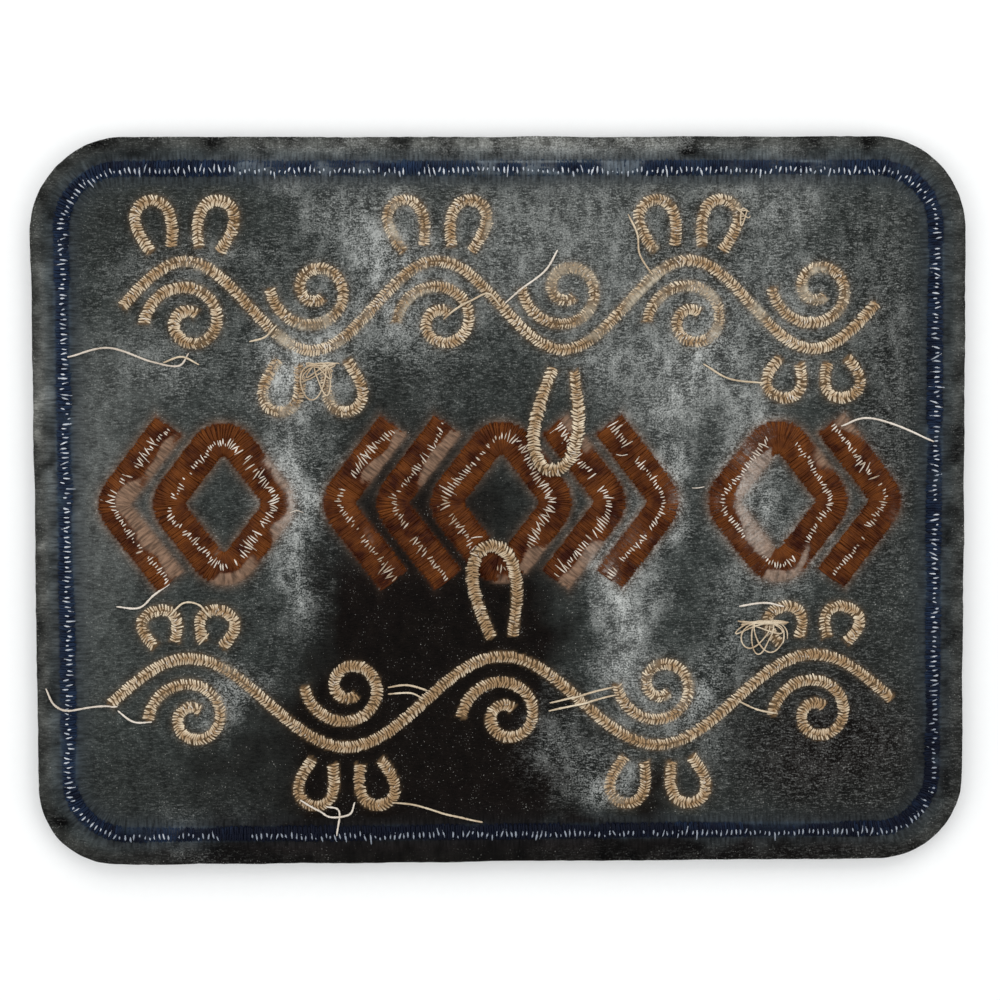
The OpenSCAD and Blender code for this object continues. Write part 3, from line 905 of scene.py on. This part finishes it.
def embroidery_thread(name, colours, word, weights, whitened):
    """Polyester embroidery thread, 40 weight, laid as satin stitch: soft gloss, fine lines along strands,
    dye that varies over a few millimetres, and a matt greyish skin where the adhesive has run over it, which
    is lighter in part as painted sheen. The weights are for each strand's own shade, darker where the film
    is painted darker, the patches of dye, the lines and the edge of the column."""
    material, node, place = new_material(name)
    shade, edge, cover, lay = (node("Attribute", (), output, attribute_name=key) for key, output in (
        ("shade", "Fac"), ("edge", "Fac"), ("veil", "Fac"), ("lay", "Vector")))
    patches = node("TexNoise", (place, 1 / DYE_PATCH, 3.0))
    lines = node("TexNoise", (node("VectorMath", (lay, PLY), operation="DIVIDE"), 1.0, 2.0))
    fibres = node("TexNoise", (place, 1 / FIBRE, 1.0))
    middle = sum(weights) / 2
    level = weighted(node, zip((shade, patches, lines, edge), weights))
    level = node("MapRange", (level, middle - 0.32, middle + 0.32))
    dyed = node("Mix", (level, colours[word + "_dark"], colours[word + "_light"]), data_type="RGBA")
    # The skin greys the thread where the film covers it, lighter in part as painted sheen
    skin = node("MapRange", (cover, 0.25, 0.95, 0, whitened))
    return surfaced(material, {
        "Base Color": node("Mix", (skin, dyed, colours[word + "_veiled"]), data_type="RGBA"),
        "Roughness": node("MapRange", (fibres, 0, 1, 0.4, 0.65)),
        "Normal": node("Bump", {"Height": weighted(node, [(fibres, 0.5), (lines, 1.0)]),
                                     "Strength": 0.5, "Distance": PLY_DEPTH}),
        "Specular IOR Level": 0.1,
    })


def hot_melt_film(colours):
    """Polyamide hot-melt film, pressed on with heat: waxy half gloss that shows the weave under it as faint
    dashes, white grains in patches that are painted glints and sheen, smooth and lined where it has run over
    the threads."""
    material, node, place = new_material("hot_melt_film_pressed")
    calm, rim, frost, lay, tint = (node("Attribute", (), output, attribute_name=key) for key, output in (
        ("calm", "Fac"), ("rim", "Fac"), ("frost", "Fac"), ("lay", "Vector"), ("tint", "Color")))
    weave, patches, lines = (
        node("TexNoise", (node("VectorMath", (where, size), operation="DIVIDE"), 1.0, detail, roughness))
        for where, size, detail, roughness in (
            (place, WEAVE_DASH, 2.0, 0.6), (place, FILM_PATCH, 5.0, 0.68), (lay, COVERED_STRAND, 3.0, 0.5)))
    grains = node("TexNoise", (place, 1 / FILM_GRAIN, 1.5, 0.7))
    rough = node("Math", (1.0, calm), operation="SUBTRACT")
    # Fine white specks where the painted glints begin: painted glints
    flecks = node("MapRange", (weighted(node, [(weave, 1.7), (grains, 1.1)]), 1.42, 2.0, 0, 0.52))
    begun = node("Math", (node("MapRange", (frost, -0.06, 0.3)), flecks), operation="MULTIPLY")
    salt = node("Math", (begun, rough), operation="MULTIPLY")
    # Thick white patches where the painted glints are strong: painted sheen
    grainy = node("Math", (node("MapRange", (frost, 0.05, 1.0)), rough), operation="MULTIPLY")
    white = node("MapRange", (weighted(node, [(patches, 1.9), (weave, 0.7), (grains, 1.9)]), 2.1, 2.75))
    through = node("Math", (grainy, white), operation="MULTIPLY")
    whitened = node("Math", (through, salt), operation="MAXIMUM")
    # Light and dark of the clear film: by its thickness and the weave, or by the strands where it is calm
    tone = weighted(node, [(patches, 1.0), (weave, 0.9), (grains, 0.6)])
    tone = node("MapRange", (tone, 0.95, 1.55, 0.42, 1.7))
    lined = node("MapRange", (lines, 0.36, 0.64, 0.5, 1.6))
    tone = node("Mix", (calm, tone, lined))
    base = node("VectorMath", (tint, tone), operation="SCALE")
    colour = node("Mix", (whitened, base, colours["film_frost"]), data_type="RGBA")
    # Fibre ends that stand out of the film, sparse, closer at the cut edge
    ends = weighted(node, [(rim, 0.2), (grains, 1.0), (patches, 0.3)])
    ends = node("Math", (node("MapRange", (ends, 0.84, 0.92, 0, 0.45)), rough), operation="MULTIPLY")
    height = node("Mix", (calm, weighted(node, [(weave, 1.0), (grains, 0.4)]), lines))
    return surfaced(material, {
        "Base Color": node("Mix", (ends, colour, colours["fibre_end"]), data_type="RGBA"),
        "Roughness": node("MapRange", (grainy, 0, 1, 0.42, 0.68)),
        "Normal": node("Bump", {"Height": height, "Strength": 0.6, "Distance": WEAVE_DEPTH}),
        "IOR": 1.5,
        "Specular IOR Level": 0.045,
    })


def polyester_twill(colours):
    """Polyester twill with a stabiliser, dyed dark and heat cut: diagonal ribs, lighter than the furrows as
    painted shade, and a melted edge with pale fibre ends."""
    material, node, place = new_material("twill_heat_cut")
    rim = node("Attribute", (), "Fac", attribute_name="rim")
    # Ribs of a 2/1 twill, at 45 degrees to the warp. The wave node has 10 / pi bands a unit at a scale of 1.
    turned = node("Mapping", {"Vector": place, "Rotation": (0, 0, math.radians(45))})
    ribs = node("TexWave", {"Vector": turned, "Scale": math.pi / 10 / TWILL_RIB, "Distortion": 0.6,
                                 "Detail": 2.0, "Detail Scale": 2.0}, "Fac", bands_direction="X")
    yarn = node("TexNoise", (place, 1 / TWILL_YARN, 3.0))
    ends = node("TexNoise", (place, 1 / FIBRE_END, 1.0))
    height = weighted(node, [(ribs, 1.0), (yarn, 0.5)])
    # Painted shade: the colour runs from the darker one in the furrows to the lighter one on the ribs
    tone = node("MapRange", (height, 0, 1.4))
    ribbed = node("Mix", (tone, colours["twill_dark"], colours["twill_light"]), data_type="RGBA")
    specks = node("MapRange", (ends, 0.64, 0.72, 0, 0.7))
    specks = node("Math", (specks, rim), operation="MULTIPLY")
    return surfaced(material, {
        "Base Color": node("Mix", (specks, ribbed, colours["fibre_end"]), data_type="RGBA"),
        "Roughness": 0.85,
        "Normal": node("Bump", {"Height": height, "Strength": 0.8, "Distance": WEAVE_DEPTH}),
    })


def sprayed_board(colours):
    """A painted board under the patch: nearly white, matt, with a faint grain."""
    material, node, place = new_material("floor_matt_paint")
    grain = node("TexNoise", (place, 1 / PAINT_GRAIN, 2.0))
    return surfaced(material, {
        "Base Color": node("Mix", (grain, colours["floor_dark"], colours["floor_light"]), data_type="RGBA"),
        "Roughness": 0.9,
    })


def size_setting(name, description, default, low, high):
    """A length property in metres."""
    return bpy.props.FloatProperty(
        name=name, description=description, default=default, min=low, max=high, unit="LENGTH", precision=6)


class PatchSizes(bpy.types.PropertyGroup):
    """Sizes of the threads."""
    pitch: size_setting("Stitch pitch", "Distance from one stitch to the next", 0.000433, 0.0003, 0.0008)
    strand: size_setting("Strand", "Width of a laid strand of the top thread", 0.0002, 0.0001, 0.0004)
    bobbin: size_setting("Bobbin thread", "Thickness of the bobbin thread", 0.00014, 0.00008, 0.0003)
    loose: size_setting("Loose thread", "Thickness of a loose thread end", 0.00018, 0.0001, 0.0004)


def colour_setting(name, description, code):
    """A colour property whose default is an sRGB hex value."""
    return bpy.props.FloatVectorProperty(
        name=name, description=description, default=linear(code), size=4, min=0, max=1, subtype="COLOR")


# Columns: thread, what it stitches, its shaded and lit strands, under film, which is lighter in part as
# painted sheen, and film that its dye has run into between the strands, darker in part as painted shade
THREAD_COLOURS = [
    ("navy", "Border", "#060B1B", "#1E2E47", "#2F3C48", "#0A0E20"),
    ("brown", "Frieze", "#310E01", "#6C3A13", "#745C4B", "#45200A"),
    ("tan", "Vines", "#A28461", "#ECDDC3", "#B4A892", "#5E4A33"),
    ("white", "Bobbin thread of the border", "#9299A3", "#E6EAEE", "#98A1AE"),
    ("cream", "Bobbin thread of the frieze", "#A9967F", "#F8F0E4", "#B3A598"),
]
SHADES = {"dark": "shaded strands", "light": "lit strands", "veiled": "under film", "gap": "soaked film"}


def thread_colours():
    """A colour property for each shade of each thread, by name."""
    return {
        f"{word}_{shade}": colour_setting(f"{word.title()}, {meaning}", f"{what}: {meaning}", code)
        for word, what, *codes in THREAD_COLOURS for (shade, meaning), code in zip(SHADES.items(), codes)
    }


class PatchColours(bpy.types.PropertyGroup):
    """Colours of the threads, the film, the cloth and the floor."""
    __annotations__ = thread_colours()
    film: colour_setting("Film", "Adhesive film over the cloth", "#2F3331")
    film_slate: colour_setting("Film, slate", "Smooth film beside the border", "#30363C")
    # Painted shade: the colour of the film where it is painted darker, mostly in the lower half
    film_clear: colour_setting("Film, clear", "Film that has wetted the cloth", "#0E0A08")
    # Painted glints and sheen: the white grains on the film
    film_frost: colour_setting("Film, frosted", "White flecks of the film", "#CED0CC")
    fibre_end: colour_setting("Fibre ends", "Pale specks", "#C9C7C0")
    # Painted shade: the furrows of the twill darker than its ribs
    twill_dark: colour_setting("Twill, dark", "Furrows of the twill", "#131416")
    twill_light: colour_setting("Twill, light", "Ribs of the twill", "#33353A")
    floor_dark: colour_setting("Floor, dark", "Grain of the floor", "#FAFAF9")
    floor_light: colour_setting("Floor, light", "Colour of the floor", "#FDFDFC")


def chosen_sizes():
    """The sizes in millimetres by name."""
    group = bpy.context.scene.patch_sizes
    return {key: getattr(group, key) / MM for key in PatchSizes.__annotations__}


def chosen_colours():
    """The colours in linear light by name."""
    group = bpy.context.scene.patch_colours
    return {key: tuple(getattr(group, key)) for key in PatchColours.__annotations__}


# Columns: weights of shade, patches, lines and edge in the thread's colour, and how far film greys it, in
# part as painted sheen
LOOKS = {
    "navy": ((0.2, 1.0, 1.0, 0.1), 0.7),
    "brown": ((0.1, 1.7, 0.5, 0.1), 0.6),
    "tan": ((0.2, 1.2, 0.5, 0.7), 0.5),
    "white": ((0.3, 0.5, 0.3, 0.0), 0.6),
    "cream": ((0.3, 0.5, 0.3, 0.0), 0.35),
}


def thread_material(word):
    """The thread of that colour, made once."""
    name = f"polyester_thread_{word}"
    return bpy.data.materials.get(name) or embroidery_thread(name, chosen_colours(), word, *LOOKS[word])


# Seed of the first column, each later one's being one more
FIRST_SEED = 100


def stitch_all(thread):
    """Stitches every column of one thread, each with a seed of its own."""
    bobbin = thread_material("white" if thread == NAVY else "cream")
    for seed, column in enumerate(COLUMNS.values(), FIRST_SEED):
        if column.thread == thread:
            stitch_column(column, chosen_sizes(), thread_material(WORDS[thread]), bobbin, seed)


def rounded_line(points, spacing=0.12):
    """A smooth line through points, as even short steps: between two points a cubic whose slope at each is
    half the way from the point before to the point after."""
    p = np.asarray(points, float)
    slope = np.gradient(p, axis=0)
    t = np.linspace(0, 1, 2 * FINE + 1)[:, None]
    a, b, c, d = 2 * t**3 - 3 * t**2 + 1, t**3 - 2 * t**2 + t, 3 * t**2 - 2 * t**3, t**3 - t**2
    spans = [a * p[i] + b * slope[i] + c * p[i + 1] + d * slope[i + 1] for i in range(len(p) - 1)]
    line = np.concatenate(spans)
    run = distances(line)
    keep = np.concatenate([[True], np.diff(run) > 1e-9])
    even = np.linspace(0, run[-1], max(6, round(run[-1] / spacing)))
    return np.column_stack([np.interp(even, run[keep], line[keep, i]) for i in range(p.shape[1])])


def nest_line(x, y, length, width, loops, rng):
    """Loops that hang from one bundle: across a cosine whose size drifts, and down 1 less the sine times a
    depth that drifts faster."""
    t = np.linspace(0, 2 * math.pi * loops, 14 * loops + 8)
    rates = (0.37, 0.23, 0.61, 1.7)
    size, shift, depth, shake = (np.cos(rate * t + start) for rate, start in zip(rates, rng.random(4) * 6))
    across = length * ((0.72 + 0.28 * size) * np.cos(t) + 0.2 * shift)
    down = width * (0.5 + 0.5 * depth) ** 2 * (1 - np.sin(t)) - 0.12 * shake
    return np.column_stack([x + across, y - down])


# Points over which the height under a loose thread is smoothed, which is a little over a millimetre
LAID_WINDOW = 11
# Seeds of the loose threads' routes, of their thickness, and of the tangles' thickness
ROUTE_SEED, LOOSE_SEED, NEST_SEED = 5, 7, 9
# How high the last turn of a tangle lies over the first
NEST_HEIGHT = 0.12
# Thickness of a stub and of a tangled thread, as shares of a loose end's
STUB_SHARE, NEST_SHARE = 0.6, 0.7


def laid(line, radius, rng, over=0.0):
    """A line lifted on to whatever is under it: the height below, smoothed, plus the radius and a ripple,
    with its last points pressed down."""
    under = top_of(line[:, 0], line[:, 1])
    window = np.hanning(LAID_WINDOW)
    wide = np.convolve(np.pad(under, LAID_WINDOW // 2, mode="edge"), window / window.sum(), mode="valid")
    ripple = 0.05 * (1 + np.sin(np.arange(len(line)) * 0.35 + rng.random() * 6))
    z = np.maximum(under + radius * 0.8, wide + radius) + ripple + over
    return np.column_stack([line, z - 0.05 * fade(from_ends(line), 2)])


def thread_run(name, rows, sizes, seed, thickness=1.0):
    """A group of loose threads as one mesh. Rows are the thread's name and its line in three dimensions."""
    parts, material_of, shades = [], [], []
    rng = np.random.default_rng(seed)
    words = sorted({thread for thread, _ in rows})
    for thread, line in rows:
        uneven = 1 + 0.12 * rng.normal(0, 1, len(line))
        radius = sizes["loose"] / 2 * thickness * (1 - 0.4 * fade(from_ends(line), 3)) * uneven
        parts.append(tubes(line[None], radius[None], LOOSE_SIDES))
        material_of += [np.full(len(f), words.index(thread)) for f in parts[-1][1]]
        shades.append(np.full(len(parts[-1][0]), 0.4 + 0.6 * rng.random()))
    points, faces = joined(parts)
    half = np.full(len(points), 0.5)
    made = make_mesh(name, points, faces, [thread_material(word) for word in words],
                     {"shade": np.concatenate(shades), "edge": half, "veil": half,
                      "lay": points[:, [1, 0, 2]]}, material_of)
    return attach(made, BODY)


# How far in from the part's own face the cloth lies, and the height of its waves
CLOTH_INSET, CLOTH_WAVE = 0.005, 0.04
# How far a column draws the cloth in, how far from it that reaches, and how wide the melted edge is
PUCKER, PUCKER_REACH, MELTED = 0.05, 0.8, 0.5


class PATCH_OT_ground_cloth(bpy.types.Operator):
    """Makes the twill with its heat-cut edge"""
    bl_idname = "patch.ground_cloth"
    bl_label = "Ground cloth"

    def execute(self, context):
        x, y = sheet_grid(CLOTH_STEP)
        pucker = PUCKER * fade(survey(x, y)["edge"], PUCKER_REACH)
        z = CLOTH_Z + CLOTH_INSET + pucker + wander(x, y, 6, 12, CLOTH_WAVE)
        points, faces = closed_sheet(x, y, z, CLOTH_RIM, upward=False)
        look = {"rim": fade(cut_edge(points[:, 0], points[:, 1]), MELTED)}
        cloth = make_mesh("twill_cloth", points, faces, [polyester_twill(chosen_colours())], look)
        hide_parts("ground_cloth")
        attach(cloth, BODY)
        return {"FINISHED"}


# Beside a column of each thread, how far and how strongly the stitching tints the film: slate by the border,
# a lighter brown by the frieze, which is painted sheen, and a dark tan by the vines, which is painted shade
HALO_REACH, HALO_SHARE = np.array([0.7, 0.26, 0.2]), np.array([0.75, 0.5, 0.3])
# Distances from the cut edge at which the film is plain again: in colour, in mottle and in calm, with the
# width over which each comes in
OLIVE_FROM, MOTTLE_FROM, CALM_FROM, EDGE_BLEND = 1.5, 2.3, 1.6, 0.8
# Tint of the film by the cut edge
OLIVE = np.array([1.1, 1.06, 0.92, 1])
# How far in from the cut edge the film is darker
RIM_DARK_REACH = 0.12


def film_look(colours, x, y, found):
    """Attributes of the film. Painted sheen takes its colour towards the white of the glints, and painted
    shade towards the darker film colour. By the cut edge it is olive, mottled and darker, beside a column
    tinted by it, and on a column the thread's gap colour where the veil is thin and the skin's where it is
    thick. Calm is how smooth it is."""
    colours = {key: np.array(value) for key, value in colours.items()}
    thread, edge = found["thread"], found["edge"]
    painted_light, frost = sheen_and_shade(x, y)
    # Depth of the painted shade, 0 to 1. Painted sheen lightens the film towards white and painted shade
    # darkens it
    clear = darkened(painted_light)
    cut = np.maximum(cut_edge(x, y), 0)
    white = colours["film_frost"]
    hazed = blend(colours["film"], white, np.clip(painted_light * 0.2, 0, 1)[:, None])
    tint = np.where(painted_light[:, None] < 0, blend(colours["film"], colours["film_clear"], clear[:, None]), hazed)
    grey = tint[:, :3].mean(1, keepdims=True)
    tint = blend(tint, grey * OLIVE, 0.6 * step(cut, OLIVE_FROM, OLIVE_FROM - EDGE_BLEND)[:, None])
    # Tint beside a column: painted sheen beside the frieze and painted shade beside the vines, less where
    # the film is painted darker
    halo = fade(edge, HALO_REACH[thread]) * HALO_SHARE[thread] * (1 - 0.85 * clear)
    beside = np.array([colours["film_slate"], colours["brown_veiled"], colours["tan_gap"]])[thread]
    tint = blend(tint, beside, halo[:, None])
    mottle = wander(x, y, 2.3, 16, 1.2) + wander(x, y, 0.9, 17, 1.2)
    mottle = 1 + mottle * step(cut, MOTTLE_FROM, MOTTLE_FROM - EDGE_BLEND)
    rim = fade(cut, RIM_DARK_REACH)
    tint = tint * (mottle * (1 - 0.6 * rim))[:, None]
    # On a column: the gap colour where the veil is thin, dye in the film that is darker in part as painted
    # shade between the strands, and where it is thick the skin, lighter in part as painted sheen. Painted
    # shade also darkens the film on the border.
    soaked = np.array([colours[word + "_gap"] for word in WORDS])[thread]
    skin = blend(np.array([colours[word + "_veiled"] for word in WORDS])[thread], white,
                 0.2 * np.clip(frost, 0, 1)[:, None])
    stain = blend(soaked, skin, step(veil(x, y, found), 0.35, 0.7)[:, None])
    stain = stain * (1 - 0.7 * clear * (thread == NAVY))[:, None]
    inside = step(-edge, 0.02, 0.18)
    tint = blend(tint, stain, inside[:, None])
    beside_border = 0.9 * np.exp(-(np.maximum(edge, 0) ** 2))
    calm = np.where(thread == NAVY, beside_border, inside * (0.9 - 0.5 * np.clip(frost, 0, 1)))
    calm = np.maximum(calm, 0.3 * step(cut, CALM_FROM, CALM_FROM - EDGE_BLEND))
    return {"tint": tint, "frost": frost, "calm": calm, "rim": rim, "lay": found["lay"]}


class PATCH_OT_adhesive_film(bpy.types.Operator):
    """Makes the hot-melt film that has run round and over the stitching"""
    bl_idname = "patch.adhesive_film"
    bl_label = "Adhesive film"

    def execute(self, context):
        colours = chosen_colours()
        x, y = sheet_grid(FILM_STEP)
        z = film_relief(x, y, survey(x, y))
        points, faces = closed_sheet(x, y, z, FILM_RIM, upward=True)
        x, y = points[:, 0], points[:, 1]
        look = film_look(colours, x, y, survey(x, y))
        film = make_mesh("hot_melt_film_sheet", points, faces, [hot_melt_film(colours)], look)
        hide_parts("adhesive_film")
        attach(film, BODY)
        return {"FINISHED"}


class PATCH_OT_border_stitching(bpy.types.Operator):
    """Stitches the navy border"""
    bl_idname = "patch.border_stitching"
    bl_label = "Border stitching"

    def execute(self, context):
        stitch_all(NAVY)
        return {"FINISHED"}


class PATCH_OT_frieze(bpy.types.Operator):
    """Stitches the brown lozenges and chevrons"""
    bl_idname = "patch.frieze"
    bl_label = "Frieze"

    def execute(self, context):
        stitch_all(BROWN)
        return {"FINISHED"}


class PATCH_OT_vines(bpy.types.Operator):
    """Stitches the tan stems, curls and leaves"""
    bl_idname = "patch.vines"
    bl_label = "Vines"

    def execute(self, context):
        stitch_all(TAN)
        return {"FINISHED"}


class PATCH_OT_loose_threads(bpy.types.Operator):
    """Lays the loose ends, jump threads and tangles on the back"""
    bl_idname = "patch.loose_threads"
    bl_label = "Loose threads"

    def execute(self, context):
        sizes = chosen_sizes()
        rng = np.random.default_rng(ROUTE_SEED)
        radius = sizes["loose"] / 2
        groups = (("thread_ends", TAILS, 1), ("jump_threads", JUMPS, 1), ("thread_stubs", STUBS, STUB_SHARE))
        for name, rows, share in groups:
            lines = [(thread, laid(rounded_line(points), radius * share, rng)) for thread, points in rows]
            thread_run(name, lines, sizes, LOOSE_SEED, share)
        nests = []
        for thread, *shape in NESTS:
            line = rounded_line(nest_line(*shape, rng))
            nests.append((thread, laid(line, radius, rng, np.linspace(0, NEST_HEIGHT, len(line)))))
        thread_run("thread_tangles", nests, sizes, NEST_SEED, NEST_SHARE)
        return {"FINISHED"}


# The floor: half its width, points a side, and its height, just under the patch
FLOOR_HALF, FLOOR_POINTS, FLOOR_Z = 900.0, 9, -0.02
# Columns: name, place in metres, width, height, power in watts
LAMPS = [
    ("softbox_back", (0.03, 0.40, 0.34), 0.6, 0.4, 1.15),
    ("softbox_left", (-0.42, -0.02, 0.30), 0.4, 0.5, 0.72),
    ("softbox_right", (0.42, -0.12, 0.34), 0.4, 0.5, 0.72),
]
SKY, SKY_STRENGTH = "#F4F6F8", 0.72
# The photograph's viewpoint: place in metres, turn in degrees, and lens and sensor in millimetres
CAMERA_PLACE, CAMERA_TURN = (-0.00358, 0.00867, 0.17287), (-2.823, -1.168, -0.242)
CAMERA_LENS, CAMERA_SENSOR = 70.0, 36.0
# The nearest and farthest that the camera sees, in metres
CAMERA_CLIP = (0.01, 10.0)


class PATCH_OT_stage(bpy.types.Operator):
    """Makes the floor, the lights and the camera"""
    bl_idname = "patch.stage"
    bl_label = "Floor, lights and camera"

    def execute(self, context):
        scene = context.scene
        side = np.linspace(-FLOOR_HALF, FLOOR_HALF, FLOOR_POINTS)
        x, y = np.meshgrid(side, side)
        points = np.column_stack([x.ravel(), y.ravel(), np.full(x.size, FLOOR_Z)])
        quads = cells(np.arange(x.size).reshape(x.shape).T)
        floor = make_mesh("floor", points, [quads], [sprayed_board(chosen_colours())])
        for name, place, width, height, power in LAMPS:
            data = bpy.data.lights.new(name, "AREA")
            data.shape, data.size, data.size_y, data.energy = "RECTANGLE", width, height, power
            lamp = bpy.data.objects.new(name, data)
            lamp.location = place
            lamp.rotation_mode = "QUATERNION"
            lamp.rotation_quaternion = (-Vector(place)).to_track_quat("-Z", "Y")
            scene.collection.objects.link(lamp)
        world = bpy.data.worlds.new("studio")
        world.use_nodes = True
        world.node_tree.nodes["Background"].inputs["Color"].default_value = linear(SKY)
        world.node_tree.nodes["Background"].inputs["Strength"].default_value = SKY_STRENGTH
        scene.world = world
        scene.view_settings.view_transform = "Standard"
        camera = bpy.data.objects.new("camera", bpy.data.cameras.new("camera"))
        camera.data.lens, camera.data.sensor_width = CAMERA_LENS, CAMERA_SENSOR
        camera.data.clip_start, camera.data.clip_end = CAMERA_CLIP
        camera.location = CAMERA_PLACE
        camera.rotation_euler = [math.radians(a) for a in CAMERA_TURN]
        scene.collection.objects.link(camera)
        scene.camera = camera
        return {"FINISHED"}


class PATCH_PT_panel(bpy.types.Panel):
    """Lists the sizes, the colours and the steps in order"""
    bl_idname = "PATCH_PT_panel"
    bl_label = "Iron-on patch"
    bl_space_type = "VIEW_3D"
    bl_region_type = "UI"
    bl_category = "Patch"

    def draw(self, context):
        layout = self.layout
        for group in (context.scene.patch_sizes, context.scene.patch_colours):
            box = layout.box()
            for key in type(group).__annotations__:
                box.prop(group, key)
        for operator in OPERATORS:
            layout.operator(operator.bl_idname)


OPERATORS = (
    PATCH_OT_ground_cloth,
    PATCH_OT_adhesive_film,
    PATCH_OT_border_stitching,
    PATCH_OT_frieze,
    PATCH_OT_vines,
    PATCH_OT_loose_threads,
    PATCH_OT_stage,
)
GROUPS = (PatchSizes, PatchColours)


def register():
    for item in (*GROUPS, *OPERATORS, PATCH_PT_panel):
        bpy.utils.register_class(item)
    bpy.types.Scene.patch_sizes = bpy.props.PointerProperty(type=PatchSizes)
    bpy.types.Scene.patch_colours = bpy.props.PointerProperty(type=PatchColours)


def unregister():
    del bpy.types.Scene.patch_colours
    del bpy.types.Scene.patch_sizes
    for item in (PATCH_PT_panel, *reversed(OPERATORS), *reversed(GROUPS)):
        bpy.utils.unregister_class(item)


def main():
    """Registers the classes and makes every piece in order."""
    register()
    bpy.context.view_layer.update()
    for operator in OPERATORS:
        getattr(bpy.ops.patch, operator.bl_idname.split(".")[1])()


if __name__ == "__main__":
    main()
